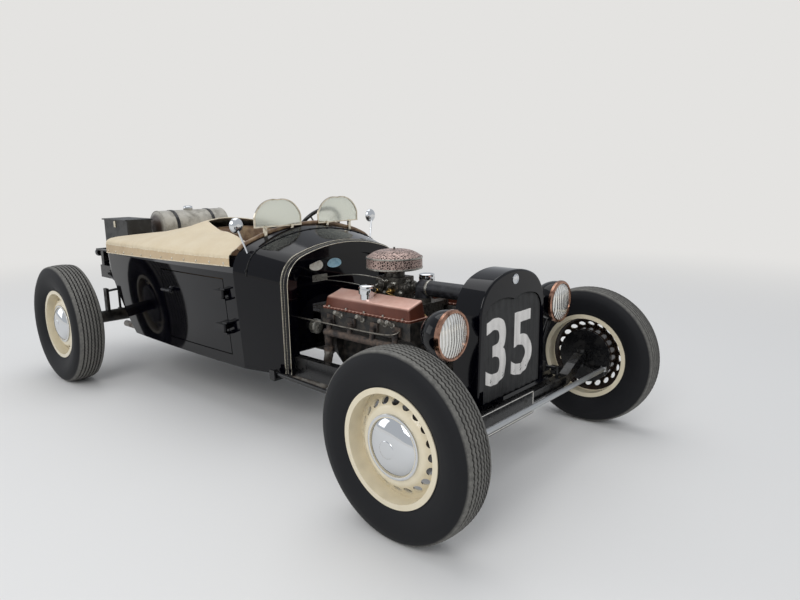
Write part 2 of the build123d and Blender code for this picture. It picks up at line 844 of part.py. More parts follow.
# Engine: a V8 with its gearbox, manifolds, pulleys and fan
head_side_y = 291.7
block_path = mirrored(
    [
        (0, 330),
        (125, 330),
        (150, 400),
        (150, 470),
        (262, 560),
        (head_side_y, 575),
        (head_side_y, 655),
        (150, 655),
        (100, 600),
        (0, 600),
    ]
)
pan_path = mirrored([(0, 250), (110, 250), (128, 280), (128, 331), (0, 331)])
gearbox_rear_x = station(1330)
gearbox_half_width = 85.0
bell_rear_x = station(1815)
bell_z = 450.0
crank_tail_z = 438.0
thermostat_x = station(2385)
mount_x = station(2300)

with BuildPart() as engine_block:
    extrude(face(across(engine_rear_x), block_path), amount=engine_front_x - engine_rear_x)
    extrude(face(across(engine_rear_x + 20), pan_path), amount=480)
    bell_length = engine_rear_x - bell_rear_x + 1
    turned((bell_rear_x, 0, bell_z), (1, 0, 0), [(0, 0), (0, 112), (bell_length, 192), (bell_length, 0)])
    block((gearbox_rear_x, -gearbox_half_width, 350), (bell_rear_x + 1, gearbox_half_width, 520))
    bar((gearbox_rear_x + 1, 0, crank_tail_z), (station(1190), 0, crank_tail_z), 52)
    block((middle_cross_x - 15, -40, middle_cross_top_z + seat_gap), (middle_cross_x + 15, 40, 400))
    for s in (1, -1):
        low_y, high_y = sided(s, 140, rail_outer_y - 10)
        block((mount_x - 30, low_y, rail_top_z + seat_gap), (mount_x + 30, high_y, rail_top_z + 22))
write(engine_block, "engine_block")

cover_length = engine_front_x - engine_rear_x - 10
cover_flange_width = 132.0
cover_flange_thick = 9.0
cover_foot_width = 116.0
cover_height = 80.0
cover_lean = 15.0
cap_x = station(2226)
cap_r = 26.0

with BuildPart() as valve_covers:
    for s in (1, -1):
        with BuildPart(mode=Mode.PRIVATE) as cover:
            middle = ((engine_rear_x + engine_front_x) / 2, s * cover_y)
            with BuildSketch(Plane.XY.offset(cover_z + seat_gap)) as flange:
                with Locations(middle):
                    RectangleRounded(cover_length, cover_flange_width, 12)
            extrude(flange.sketch, amount=cover_flange_thick)
            with BuildSketch(Plane.XY.offset(cover_z + cover_flange_thick)) as foot:
                with Locations(middle):
                    RectangleRounded(cover_length - 20, cover_foot_width, 24)
            extrude(foot.sketch, amount=cover_height, taper=cover_lean)
            fillet(cover.faces().sort_by(Axis.Z)[-1].edges(), 9)
            cap_foot = cover_z + cover_height
            bar((cap_x, s * cover_y, cap_foot), (cap_x, s * cover_y, cap_foot + 30), cap_r)
        add(cover.part)
write(valve_covers, "valve_covers")

carb_x = station(2200)
intake_foot_z = 600.0
intake_top_z = 690.0
runner_places = (2080, 2190, 2300, 2400)
runner_half = 22.0
carb_top_z = 800.0
throat_r = 52.0
throat_top_z = 836.0
stud_r = 5.0
cleaner_r = 140.0
thermostat_top_z = 712.0

with BuildPart() as intake:
    block((station(2040), -92, intake_foot_z + seat_gap), (station(2440), 92, intake_top_z))
    for s in (1, -1):
        for distance in runner_places:
            x = station(distance)
            low_y, high_y = sided(s, 60, 153)
            block((x - runner_half, low_y, cover_z + seat_gap), (x + runner_half, high_y, intake_top_z - 2))
    block((carb_x - 75, -60, intake_top_z - 1), (carb_x + 75, 60, carb_top_z))
    bar((carb_x, 0, carb_top_z - 1), (carb_x, 0, throat_top_z), throat_r)
    bar((carb_x, 0, throat_top_z - 6), (carb_x, 0, throat_top_z + 109), stud_r)
    bar((thermostat_x, 0, intake_top_z - 1), (thermostat_x, 0, thermostat_top_z), 40)
write(intake, "intake")

with BuildPart() as air_cleaner:
    bore_r = stud_r + seat_gap
    turned(
        (carb_x, 0, throat_top_z + seat_gap),
        (0, 0, 1),
        [
            (0, bore_r),
            (0, cleaner_r - 12),
            (6, cleaner_r),
            (60, cleaner_r),
            ((86, 100), (96, 30)),
            (97, bore_r),
        ],
    )
write(air_cleaner, "air_cleaner")

ports = (2045.0, 2190.0, 2340.0, 2480.0)
port_z = 610.0
log_out = 312.0
log_z = 545.0
log_r = 18.0
runner_r = 14.0
outlet_x = station(2010)
collar_r = 26.0
collar_z = 441.0
pipe_r = 22.0
pipe_y = 285.0
pipe_z = 250.0
knee_x = station(1960)
pipe_rear_x = station(-260)
pipe_bore = 60.0
muffler_front_x = station(1050)
muffler_r = 52.0
muffler_length = 550.0
muffler_cone = 40.0

with BuildPart() as exhaust_manifolds:
    for s in (1, -1):
        log_y = s * log_out
        bar((station(2020), log_y, log_z), (station(2500), log_y, log_z), log_r)
        for port in ports:
            bar((station(port), s * (log_out - 5.5), port_z), (station(port), log_y, log_z), runner_r)
            low_y, high_y = sided(s, head_side_y + seat_gap, head_side_y + 9)
            block((station(port) - 24, low_y, port_z - 20), (station(port) + 24, high_y, port_z + 22))
        bar((outlet_x + 30, log_y, log_z), (outlet_x, s * pipe_y, collar_z + 14), log_r + 2)
        bar((outlet_x, s * pipe_y, collar_z + 24), (outlet_x, s * pipe_y, collar_z + seat_gap), collar_r)
write(exhaust_manifolds, "exhaust_manifolds")

with BuildPart() as exhaust_pipes:
    for s in (1, -1):
        knee = (knee_x, s * pipe_y, pipe_z)
        bar((outlet_x, s * pipe_y, collar_z - 6), knee, pipe_r)
        bar((outlet_x, s * pipe_y, collar_z - 12), (outlet_x, s * pipe_y, collar_z), collar_r)
        with Locations(Vector(*knee)):
            Sphere(pipe_r)
        bar(knee, (pipe_rear_x, s * pipe_y, pipe_z), pipe_r)
        turned(
            (muffler_front_x, s * pipe_y, pipe_z),
            (-1, 0, 0),
            [
                (0, 0),
                (0, pipe_r),
                (muffler_cone, muffler_r),
                (muffler_length - muffler_cone, muffler_r),
                (muffler_length, pipe_r),
                (muffler_length, 0),
            ],
        )
        bar(
            (pipe_rear_x + pipe_bore, s * pipe_y, pipe_z),
            (pipe_rear_x - 1, s * pipe_y, pipe_z),
            pipe_r - 4,
            mode=Mode.SUBTRACT,
        )
write(exhaust_pipes, "exhaust_pipes")

timing_cover_half = 115.0
timing_cover_thick = 40.0
pulley_thick = 40.0
crank_pulley_r = 78.0
fan_pulley_r = 52.0
fan_z = 555.0
fan_r = 150.0
fan_x = engine_front_x + 135.0
fan_blades = 4
blade_width = 54.0
dynamo_y = 130.0
dynamo_z = 640.0
dynamo_r = 50.0

with BuildPart() as engine_front:
    plate_x = engine_front_x + timing_cover_thick
    block((engine_front_x + seat_gap, -timing_cover_half, 350), (plate_x, timing_cover_half, 600))
    bar((plate_x - 1, 0, crank_z), (plate_x + pulley_thick, 0, crank_z), crank_pulley_r)
    bar((plate_x - 1, 0, fan_z), (plate_x + pulley_thick, 0, fan_z), fan_pulley_r)
    bar((plate_x + pulley_thick - 1, 0, fan_z), (fan_x + 15, 0, fan_z), 24)
    for turn in range(fan_blades):
        angle = radians(45 + 360 / fan_blades * turn)
        with BuildPart(mode=Mode.PRIVATE) as blade:
            plane = Plane(
                origin=(fan_x, 0, fan_z),
                x_dir=(0, cos(angle), sin(angle)),
                z_dir=(0.9, -0.43 * sin(angle), 0.43 * cos(angle)),
            )
            with BuildSketch(plane):
                with Locations((fan_r / 2, 0)):
                    RectangleRounded(fan_r, blade_width, 12)
            extrude(amount=1.5, both=True)
        add(blade.part)
    bar((engine_front_x + 22, -150, 560), (engine_front_x + 22, -60, 560), 18)
    bar((engine_front_x + 5, dynamo_y, dynamo_z), (engine_front_x + 120, dynamo_y, dynamo_z), dynamo_r)
    block((engine_front_x + 8, dynamo_y - 35, 560), (engine_front_x + 36, dynamo_y - 5, 610))
write(engine_front, "engine_front")

with BuildPart() as radiator_hoses:
    bend = (thermostat_x, 0, hose_z)
    bar((thermostat_x, 0, thermostat_top_z + seat_gap), bend, hose_r)
    with Locations(Vector(*bend)):
        Sphere(hose_r)
    bar(bend, (core_rear_x - seat_gap, hose_y, hose_z), hose_r)
    bar(
        (core_rear_x - 62, hose_y, hose_z),
        (core_rear_x, hose_y, hose_z),
        hose_r - hose_wall,
        mode=Mode.SUBTRACT,
    )
write(radiator_hoses, "radiator_hoses")

# Front axle: a dropped beam between two kingpin bosses, with perches for the spring
beam_half = 22.5
boss_z = front_tyre_r
boss_half = 28.0
boss_r = 24.0
perch_y = 508.0
perch_wide = 18.0
perch_top_z = 330.0
front_spring_x_low = station(2808)
axle_path = mirrored(
    [
        (0, beam_z - 27),
        (470, beam_z - 27),
        (560, 292),
        (625, 330),
        (642, 330),
        (642, 382),
        (622, 382),
        (545, 350),
        (470, beam_z + 27),
        (0, beam_z + 27),
    ]
)

with BuildPart() as front_axle:
    extrude(face(across(front_axle_x - beam_half), axle_path), amount=2 * beam_half)
    for s in (1, -1):
        low_x, high_x = sided(s, 9, beam_half + 1)
        block(
            (front_axle_x + low_x, -455, beam_z - 18),
            (front_axle_x + high_x, 455, beam_z + 18),
            mode=Mode.SUBTRACT,
        )
        low, high = boss_z - boss_half, boss_z + boss_half
        bar((front_axle_x, s * kingpin_y, low), (front_axle_x, s * kingpin_y, high), boss_r)
        bar(
            (front_axle_x, s * kingpin_y, low - 1),
            (front_axle_x, s * kingpin_y, high + 1),
            kingpin_r + bearing_gap,
            mode=Mode.SUBTRACT,
        )
        low_y, high_y = sided(s, perch_y, perch_y + perch_wide)
        block((front_spring_x_low, low_y, beam_z - 1), (front_axle_x - beam_half + 1, high_y, perch_top_z))
write(front_axle, "front_axle")

# Leaf springs: leaves bent to one centre, longest at the bottom, across the car at each axle
leaf_width = 44.0
leaf_thick = 7.0
leaf_half_lengths = (505.0, 400.0, 300.0, 200.0)
leaf_drop = 22.0
front_leaf_z = 322.0
rear_leaf_z = 571.7
front_spring_x = station(2830)
rear_tube_r = 38.0
rear_tube_top = rear_tyre_r + rear_tube_r

with BuildPart() as leaf_springs:
    bend_r = (leaf_half_lengths[0] ** 2 + leaf_drop**2) / (2 * leaf_drop)
    for middle_x, foot in ((front_spring_x, front_leaf_z), (rear_axle_x, rear_leaf_z)):
        for i, half in enumerate(leaf_half_lengths):
            low_r = bend_r + i * leaf_thick
            high_r = low_r + leaf_thick
            centre = foot - bend_r
            low_end = centre + (low_r**2 - half**2) ** 0.5
            high_end = centre + (high_r**2 - half**2) ** 0.5
            leaf = [
                (-half, low_end),
                ((0, centre + low_r), (half, low_end)),
                (half, high_end),
                ((0, centre + high_r), (-half, high_end)),
            ]
            extrude(face(across(middle_x - leaf_width / 2), leaf), amount=leaf_width)
write(leaf_springs, "leaf_springs")

with BuildPart() as radius_rods:
    for s in (1, -1):
        eye = (rod_pivot_x, s * rod_y, rod_pivot_z)
        bar(eye, (front_axle_x - beam_half - 2, s * 455, beam_z), 11)
        bar((eye[0], s * (rod_y - 13), eye[2]), (eye[0], s * (rod_y + 14 - seat_gap), eye[2]), 17)
write(radius_rods, "radius_rods")

# Shock absorbers: lever units bolted to the rails, their arms linked to each axle
shock_r = 30.0
shock_depth = 46.0
shock_arm_y = rail_outer_y + 52.0
shock_arm_r = 8.0
# Columns: place of the unit, its height, reach of its arm, height of the arm's end, foot of the link
shocks = (
    (station(2730), 350.0, 160.0, 352.0, beam_z + 27),
    (station(-175), 640.0, 140.0, 600.0, rear_tube_top),
)

with BuildPart() as shock_absorbers:
    for s in (1, -1):
        for x, z, reach, arm_z, link_z in shocks:
            bar((x, s * (rail_outer_y + seat_gap), z), (x, s * (rail_outer_y + shock_depth), z), shock_r)
            arm_y = s * shock_arm_y
            bar((x, s * (rail_outer_y + shock_depth - 1), z), (x, s * (shock_arm_y + shock_arm_r), z), 14)
            bar((x, arm_y, z), (x + reach, arm_y, arm_z), shock_arm_r)
            bar((x + reach, arm_y, arm_z + 9), (x + reach, arm_y, link_z + seat_gap), shock_arm_r)
write(shock_absorbers, "shock_absorbers")

# Headlamps: bowls on stalks from the rails, with a rim and a lens each
lamp_x = station(2892)
lamp_y = 428.0
lamp_z = 685.0
lens_r = 97.0
lamp_seat_x = lamp_x - 12
stalk_r = 11.0
bowl_path = [(0, 0), (0, lens_r), ((70, 84), (122, 34)), (128, 0)]
bowl_hollow_path = [(-1, 0), (-1, lens_r - 3), ((68, 80), (118, 31)), (124, 0)]

with BuildPart() as headlamps:
    for s in (1, -1):
        seat = (lamp_seat_x, s * lamp_y, lamp_z)
        turned(seat, (-1, 0, 0), bowl_path)
        turned(seat, (-1, 0, 0), bowl_hollow_path, mode=Mode.SUBTRACT)
        foot = (station(2820), s * (rail_outer_y - rail_width / 2), rail_top_z + seat_gap)
        top = (station(2835), s * lamp_y, lamp_z - 88)
        bar((foot[0], foot[1], foot[2] + 8), top, stalk_r)
        bar(foot, (foot[0], foot[1], foot[2] + 14), 20)
write(headlamps, "headlamps")

with BuildPart() as lamp_rims:
    for s in (1, -1):
        turned(
            (lamp_seat_x + seat_gap, s * lamp_y, lamp_z),
            (1, 0, 0),
            [(0, lens_r - 8), (0, lens_r + 5), (12, lens_r + 5), (18, lens_r), (18, lens_r - 8)],
        )
write(lamp_rims, "lamp_rims")

with BuildPart() as lamp_lenses:
    for s in (1, -1):
        turned(
            (lamp_x - 6, s * lamp_y, lamp_z),
            (1, 0, 0),
            [(0, 0), (0, lens_r - 8 - seat_gap), (8, lens_r - 8 - seat_gap), ((19, 50), (23, 8)), (23, 0)],
        )
write(lamp_lenses, "lamp_lenses")

# Rear axle: tubes and centre casing, torque tube forward, backing plates and stub spindles
plate_in = 52.0
plate_thick = 8.0
plate_r = 138.0
spindle_end = 34.0
casing_r = 132.0
casing_back = 95.0
torque_tube_r = 40.0
tube_end_y = rear_half_track - plate_in
tube_path = [
    (-tube_end_y, 0),
    (-tube_end_y, rear_tube_r),
    (-90, rear_tube_r + 6),
    (90, rear_tube_r + 6),
    (tube_end_y, rear_tube_r),
    (tube_end_y, 0),
]

with BuildPart() as rear_axle:
    with Locations(Vector(rear_axle_x, 0, rear_tyre_r)):
        Sphere(casing_r)
    block(
        (rear_axle_x - 200, -300, rear_tyre_r - 200),
        (rear_axle_x - casing_back, 300, rear_tyre_r + 200),
        mode=Mode.SUBTRACT,
    )
    turned((rear_axle_x, 0, rear_tyre_r), (0, 1, 0), tube_path)
    bar((rear_axle_x + 60, 0, rear_tyre_r + 3), (station(1175), 0, crank_tail_z - 2), torque_tube_r)
    for s in (1, -1):
        plate_y = s * tube_end_y
        end_y = s * (rear_half_track + spindle_end)
        bar((rear_axle_x, plate_y, rear_tyre_r), (rear_axle_x, end_y, rear_tyre_r), spindle_r)
        bar(
            (rear_axle_x, plate_y, rear_tyre_r),
            (rear_axle_x, s * (tube_end_y + plate_thick), rear_tyre_r),
            plate_r,
        )
        low_y, high_y = sided(s, perch_y, perch_y + perch_wide)
        block(
            (rear_axle_x - leaf_width / 2, low_y, rear_tyre_r),
            (rear_axle_x + leaf_width / 2, high_y, rear_leaf_z + seat_gap),
        )
        low_y, high_y = sided(s, shock_arm_y - 12, shock_arm_y + 12)
        block((rear_axle_x - 50, low_y, rear_tyre_r), (rear_axle_x - 20, high_y, rear_tube_top))
write(rear_axle, "rear_axle")

# Wheels: a rim on a dished disc with a ring of holes, a drum behind it and a domed cap
disc_holes = 20
disc_hole_r = 16.5
disc_hole_pitch = 164.0
disc_hole_out = 17.0
disc_hole_tilt = radians(39.0)
drum_in = 38.0
rim_path = [
    (-rim_half_width, flange_r),
    (-rim_half_width + rim_thick, flange_r),
    (-rim_half_width + rim_thick, bead_r - seat_gap),
    (rim_half_width - rim_thick, bead_r - seat_gap),
    (rim_half_width - rim_thick, flange_r),
    (rim_half_width, flange_r),
    (rim_half_width, bead_r - seat_gap - rim_thick),
    (-rim_half_width, bead_r - seat_gap - rim_thick),
]
disc_path = [
    (-4, 200),
    ((0, 189), (4, 181)),
    (30, 149),
    ((34, 142), (36, 132)),
    (36, spindle_r + bearing_gap),
    (-drum_in, spindle_r + bearing_gap),
    (-drum_in, 42),
    (24, 42),
    (30, 62),
    (30, 132),
    ((29, 139), (25, 145)),
    (0, 176),
    ((-6, 187), (-10, 200)),
]
drum_path = [(-drum_in, 131), (-drum_in, 141), (30, 141), (33, 131)]
cap_path = [
    (36, 0),
    (36, 40),
    (34, 40),
    (34, 112),
    ((37, 119), (42, 118)),
    (44, 108),
    ((58, 70), (64, 8)),
    (64, 0),
]
wheel_places = (
    ("front_right", -1, front_axle_x, front_half_track, front_tyre_r, front_tyre_width),
    ("front_left", 1, front_axle_x, front_half_track, front_tyre_r, front_tyre_width),
    ("rear_right", -1, rear_axle_x, rear_half_track, rear_tyre_r, rear_tyre_width),
    ("rear_left", 1, rear_axle_x, rear_half_track, rear_tyre_r, rear_tyre_width),
)

for place, s, x, half_track, tyre_r, tyre_width in wheel_places:
    hub = (x, s * half_track, tyre_r)
    with BuildPart() as wheel:
        for path in (rim_path, disc_path, drum_path, cap_path):
            turned(hub, (0, s, 0), path)
        for i in range(disc_holes):
            angle = radians(360 / disc_holes * i)
            outward = Vector(cos(angle), 0, sin(angle))
            middle = Vector(*hub) + outward * disc_hole_pitch + Vector(0, s * disc_hole_out, 0)
            drill = outward * sin(disc_hole_tilt) + Vector(0, s * cos(disc_hole_tilt), 0)
            bar(middle - drill * 14, middle + drill * 24, disc_hole_r, mode=Mode.SUBTRACT)
    write(wheel, f"wheel_{place}")

    bead = rim_half_width - rim_thick - seat_gap
    bead_top_r = flange_r + 0.5
    half = tyre_width / 2
    tread = half - 20
    shoulder_top_r = tyre_r - 8
    with BuildPart() as tyre:
        turned(
            hub,
            (0, s, 0),
            [
                (-bead, bead_r),
                (-bead, bead_top_r),
                ((-half, (flange_r + tyre_r) / 2), (-tread, shoulder_top_r)),
                ((0, tyre_r), (tread, shoulder_top_r)),
                ((half, (flange_r + tyre_r) / 2), (bead, bead_top_r)),
                (bead, bead_r),
            ],
        )
    write(tyre, f"tyre_{place}")

# Knuckles: a yoke and pin round each boss, with a backing plate, spindle and steering arm
yoke_gap = 2.0
lug_thick = 16.0
lug_r = 22.0
web_in = 30.0
web_half = 24.0
arm_r = 9.0
arm_root_y = kingpin_y + 34.0
link_pin_r = 8.0
eye_r = 15.0
eye_half = 12.0

for s, name in ((-1, "knuckle_right"), (1, "knuckle_left")):
    pin_y = s * kingpin_y
    with BuildPart() as knuckle:
        low, high = boss_z - boss_half - yoke_gap, boss_z + boss_half + yoke_gap
        bar((front_axle_x, pin_y, low - lug_thick), (front_axle_x, pin_y, high + lug_thick), kingpin_r)
        for foot in (low - lug_thick, high):
            bar((front_axle_x, pin_y, foot), (front_axle_x, pin_y, foot + lug_thick), lug_r)
            low_y, high_y = sided(s, kingpin_y, kingpin_y + web_in + 10)
            block((front_axle_x - 18, low_y, foot), (front_axle_x + 18, high_y, foot + lug_thick))
        low_y, high_y = sided(s, kingpin_y + web_in, front_half_track - plate_in)
        block(
            (front_axle_x - web_half, low_y, low - lug_thick),
            (front_axle_x + web_half, high_y, high + lug_thick),
        )
        plate_y = s * (front_half_track - plate_in)
        bar(
            (front_axle_x, plate_y, front_tyre_r),
            (front_axle_x, plate_y + s * plate_thick, front_tyre_r),
            plate_r,
        )
        bar(
            (front_axle_x, plate_y, front_tyre_r),
            (front_axle_x, s * (front_half_track + spindle_end), front_tyre_r),
            spindle_r,
        )
        arm_foot = tie_rod_z - eye_half - 3
        arm_end = (front_axle_x + steer_arm, pin_y, arm_foot - 7)
        bar((front_axle_x + 14, s * arm_root_y, arm_foot), arm_end, arm_r)
        bar((arm_end[0], pin_y, arm_foot - 14), (arm_end[0], pin_y, arm_foot), eye_r)
        bar((arm_end[0], pin_y, arm_foot - 1), (arm_end[0], pin_y, tie_rod_z + eye_half + 4), link_pin_r)
        if s < 0:
            arm_top = drag_link_z + eye_half + 3
            arm_end = (front_axle_x - steer_arm, pin_y, arm_top + 8)
            bar((front_axle_x - 14, s * arm_root_y, tie_rod_z), arm_end, arm_r)
            bar((arm_end[0], pin_y, arm_top), (arm_end[0], pin_y, arm_top + 16), eye_r)
            bar((arm_end[0], pin_y, arm_top + 1), (arm_end[0], pin_y, drag_link_z - eye_half - 4), link_pin_r)
    write(knuckle, name)


def link(ends, z, radius):
    """A round rod between two upright eyes, each bored for its pin."""
    first, last = (Vector(x, y, z) for x, y in ends)
    along = (last - first).normalized()
    bar(first + along * (eye_r - 3), last - along * (eye_r - 3), radius)
    for eye in (first, last):
        bar(eye - Vector(0, 0, eye_half), eye + Vector(0, 0, eye_half), eye_r)
        bar(
            eye - Vector(0, 0, eye_half + 1),
            eye + Vector(0, 0, eye_half + 1),
            link_pin_r + bearing_gap,
            mode=Mode.SUBTRACT,
        )


with BuildPart() as tie_rod:
    rod_x = front_axle_x + steer_arm
    link(((rod_x, -kingpin_y), (rod_x, kingpin_y)), tie_rod_z, tie_rod_r)
write(tie_rod, "tie_rod")

sector_pin_r = 10.0
sector_hub_r = 17.0
sector_top_z = 392.0
steering_box_z = 397.0
pitman_end_x = pitman_x - steer_arm
pitman_thick = 10.0
pitman_half = 13.0
pitman_foot = drag_link_z + eye_half + 3
pitman_top = pitman_foot + pitman_thick
with BuildPart() as pitman_arm:
    block(
        (pitman_end_x, pitman_y - pitman_half, pitman_foot),
        (pitman_x, pitman_y + pitman_half, pitman_top),
    )
    bar((pitman_end_x, pitman_y, pitman_foot), (pitman_end_x, pitman_y, pitman_top), pitman_half)
    bar((pitman_x, pitman_y, pitman_foot), (pitman_x, pitman_y, sector_top_z), sector_hub_r)
    bar(
        (pitman_x, pitman_y, pitman_top + 2),
        (pitman_x, pitman_y, sector_top_z + 1),
        sector_pin_r + bearing_gap,
        mode=Mode.SUBTRACT,
    )
    bar(
        (pitman_end_x, pitman_y, pitman_foot + 1),
        (pitman_end_x, pitman_y, drag_link_z - eye_half - 4),
        link_pin_r,
    )
write(pitman_arm, "pitman_arm")

with BuildPart() as drag_link:
    link(((pitman_end_x, pitman_y), (front_axle_x - steer_arm, -kingpin_y)), drag_link_z, drag_link_r)
write(drag_link, "drag_link")

# Steering wheel on its column, which runs down to a joint and along the rail to the box
hub_r = 26.0
hub_depth = 34.0
column_pin_r = 8.0
spoke_r = 5.0
grip_r = 11.0
upper_joint = wheel_centre + column_dir * column_length
lower_joint = Vector(station(2000), 352, 430)
shaft_end = Vector(station(2542), 384, 441)
shaft_r = 9.0
joint_r = 20.0

with BuildPart() as steering_wheel:
    turned(
        wheel_centre,
        column_dir,
        [(-6, 0), (-6, 22), (0, hub_r), (hub_depth, hub_r), (hub_depth, 0)],
    )
    bar(
        wheel_centre + column_dir * 8,
        wheel_centre + column_dir * (hub_depth + 1),
        column_pin_r + bearing_gap,
        mode=Mode.SUBTRACT,
    )
    ring = Plane(origin=wheel_centre, x_dir=(0, 1, 0), z_dir=column_dir)
    for turn in (0, 90, 180, 270):
        angle = radians(turn + 45)
        out = ring.x_dir * cos(angle) + ring.y_dir * sin(angle)
        bar(wheel_centre + column_dir * 12 + out * 20, wheel_centre + out * steering_wheel_r, spoke_r)
    with BuildSketch(Plane(origin=wheel_centre, x_dir=(0, 1, 0), z_dir=ring.y_dir)):
        with Locations((steering_wheel_r, 0)):
            Circle(grip_r)
    revolve(axis=Axis(wheel_centre, column_dir))
write(steering_wheel, "steering_wheel")

with BuildPart() as steering_column:
    head = wheel_centre + column_dir * (hub_depth + 2)
    bar(wheel_centre + column_dir * 10, head + column_dir * 2, column_pin_r)
    bar(head, upper_joint, column_r)
    bar(upper_joint, lower_joint, shaft_r)
    bar(lower_joint, shaft_end, shaft_r)
    for joint in (upper_joint, lower_joint):
        bar(joint - Vector(0, joint_r, 0), joint + Vector(0, joint_r, 0), joint_r)
    block(
        (pitman_x - 80, rail_outer_y - 30, steering_box_z),
        (pitman_x + 40, pitman_y + 28, steering_box_z + 88),
    )
    bar(
        (pitman_x, pitman_y, steering_box_z + 1),
        (pitman_x, pitman_y, pitman_top + 6),
        sector_pin_r,
    )
write(steering_column, "steering_column")

# Screens, mirrors and hand controls
screen_y = 216.0
screen_half = 155.0
screen_foot_z = 1035.0
screen_rim = 7.0
screen_thick = 10.0
glass_thick = 4.0
post_spread = 88.0
post_half = 9.0


def screen_outline(inset):
    """A round-topped screen seen from the front, drawn in by inset."""
    return mirrored(
        [
            (0, inset),
            (screen_half - inset, inset),
            (screen_half - inset, 55),
            ((112 - 0.7 * inset, 118 - 0.7 * inset), (0, 145 - inset)),
        ]
    )


with BuildPart() as screen_frames:
    for s in (1, -1):
        plane = Plane(origin=(dash_x + 5, s * screen_y, screen_foot_z), x_dir=(0, 1, 0), z_dir=(1, 0, 0))
        extrude(face(plane, screen_outline(0)), amount=screen_thick)
        extrude(face(plane, screen_outline(screen_rim)), amount=screen_thick, mode=Mode.SUBTRACT)
        for y in (screen_y - post_spread, screen_y + post_spread):
            low_y, high_y = sided(s, y - post_half, y + post_half)
            block((dash_x + 4, low_y, cowl_top_z + 10), (dash_x + 16, high_y, screen_foot_z + 2))
    cowl_form(dash_x - 1, cowl_front_x, -seat_gap, mode=Mode.SUBTRACT)
write(screen_frames, "screen_frames")

with BuildPart() as screen_glass:
    for s in (1, -1):
        plane = Plane(origin=(dash_x + 8, s * screen_y, screen_foot_z), x_dir=(0, 1, 0), z_dir=(1, 0, 0))
        extrude(face(plane, screen_outline(screen_rim + seat_gap)), amount=glass_thick)
write(screen_glass, "screen_glass")

mirror_y = 482.0
mirror_z = 1057.0
mirror_r = 38.0
mirror_x = dash_x + 12.0
with BuildPart() as mirrors:
    for s in (1, -1):
        turned(
            (mirror_x, s * mirror_y, mirror_z),
            (1, 0, 0),
            [(0, 0), (0, mirror_r), (6, mirror_r), ((17, 26), (22, 5)), (22, 0)],
        )
        bar((mirror_x + 12, s * mirror_y, mirror_z - 20), (mirror_x + 33, s * (mirror_y - 42), 900), 5)
    cowl_form(dash_x - 1, cowl_front_x, -seat_gap, mode=Mode.SUBTRACT)
write(mirrors, "mirrors")

# Columns: foot of the lever along and across, then its knob along, across and up
levers = (
    (station(1400), 20, station(1370), 30, 770),
    (station(1350), -60, station(1300), -60, 720),
)
lever_foot_z = tunnel_top_z + seat_gap
gaiter_r = 30.0
lever_r = 6.0
knob_r = 17.0
with BuildPart() as controls:
    for foot_x, foot_y, top_x, top_y, top_z in levers:
        bar((foot_x, foot_y, lever_foot_z), (foot_x, foot_y, lever_foot_z + 10), gaiter_r)
        bar((foot_x, foot_y, lever_foot_z + 5), (top_x, top_y, top_z), lever_r)
        bar((top_x, top_y, top_z - 14), (top_x, top_y, top_z + 14), knob_r)
write(controls, "controls")
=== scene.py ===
import bmesh
import bpy
from math import atan2, cos, exp, hypot, pi, radians, sin, sqrt
from mathutils import Matrix, Vector


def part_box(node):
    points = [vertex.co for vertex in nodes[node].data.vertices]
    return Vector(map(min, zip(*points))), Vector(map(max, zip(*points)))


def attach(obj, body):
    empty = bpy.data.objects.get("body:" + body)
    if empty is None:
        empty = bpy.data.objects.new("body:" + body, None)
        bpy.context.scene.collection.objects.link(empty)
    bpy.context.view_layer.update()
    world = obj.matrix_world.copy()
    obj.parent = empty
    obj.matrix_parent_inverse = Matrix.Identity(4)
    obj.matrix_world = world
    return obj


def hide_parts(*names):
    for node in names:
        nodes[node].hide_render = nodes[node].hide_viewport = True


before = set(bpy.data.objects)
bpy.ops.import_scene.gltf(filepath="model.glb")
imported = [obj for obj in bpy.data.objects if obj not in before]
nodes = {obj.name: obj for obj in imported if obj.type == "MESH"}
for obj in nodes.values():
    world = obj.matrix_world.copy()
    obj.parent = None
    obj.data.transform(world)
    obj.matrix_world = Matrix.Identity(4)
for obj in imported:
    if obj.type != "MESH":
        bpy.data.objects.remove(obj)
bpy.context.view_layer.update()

# The room is a pale floor that runs out into an even pale wall, under three soft lamps, seen from
# where the photographer stood: beside the front right wheel, a little above the cockpit. Only the
# floor round the car takes shadow; further out it has the wall's own colour.
camera_place = (2.9215, -2.2805, 1.2823)
camera_yaw = radians(42.17)
camera_pitch = radians(-11.078)
camera_roll = radians(-0.8456)
photo_focal_pixels = 623.98
photo_width_pixels = 800
wall_colour = "#E4E3E1"
card_colour = "#E3E2E0"
shadow_full_reach, shadow_floor_reach = 2.6, 9.0
floor_size = 120


def linear(hex_colour):
    """A colour written as sRGB hex, turned to the linear values that materials use."""
    values = [int(hex_colour[i:i + 2], 16) / 255 for i in (1, 3, 5)]
    return [v / 12.92 if v <= 0.04045 else ((v + 0.055) / 1.055) ** 2.4 for v in values] + [1.0]


def add_node(tree, kind, settings=None, values=None, links=None):
    """A shader node of a kind, with its own settings, the values of its sockets and what feeds them.

    Sockets go by name, or by number where names repeat: a colour mix takes its two colours at 6 and
    7 and gives its result at 2.
    """
    node = tree.nodes.new("ShaderNode" + kind)
    for name, value in (settings or {}).items():
        setattr(node, name, value)
    for name, value in (values or {}).items():
        node.inputs[name].default_value = value
    for name, source in (links or {}).items():
        tree.links.new(source, node.inputs[name])
    return node


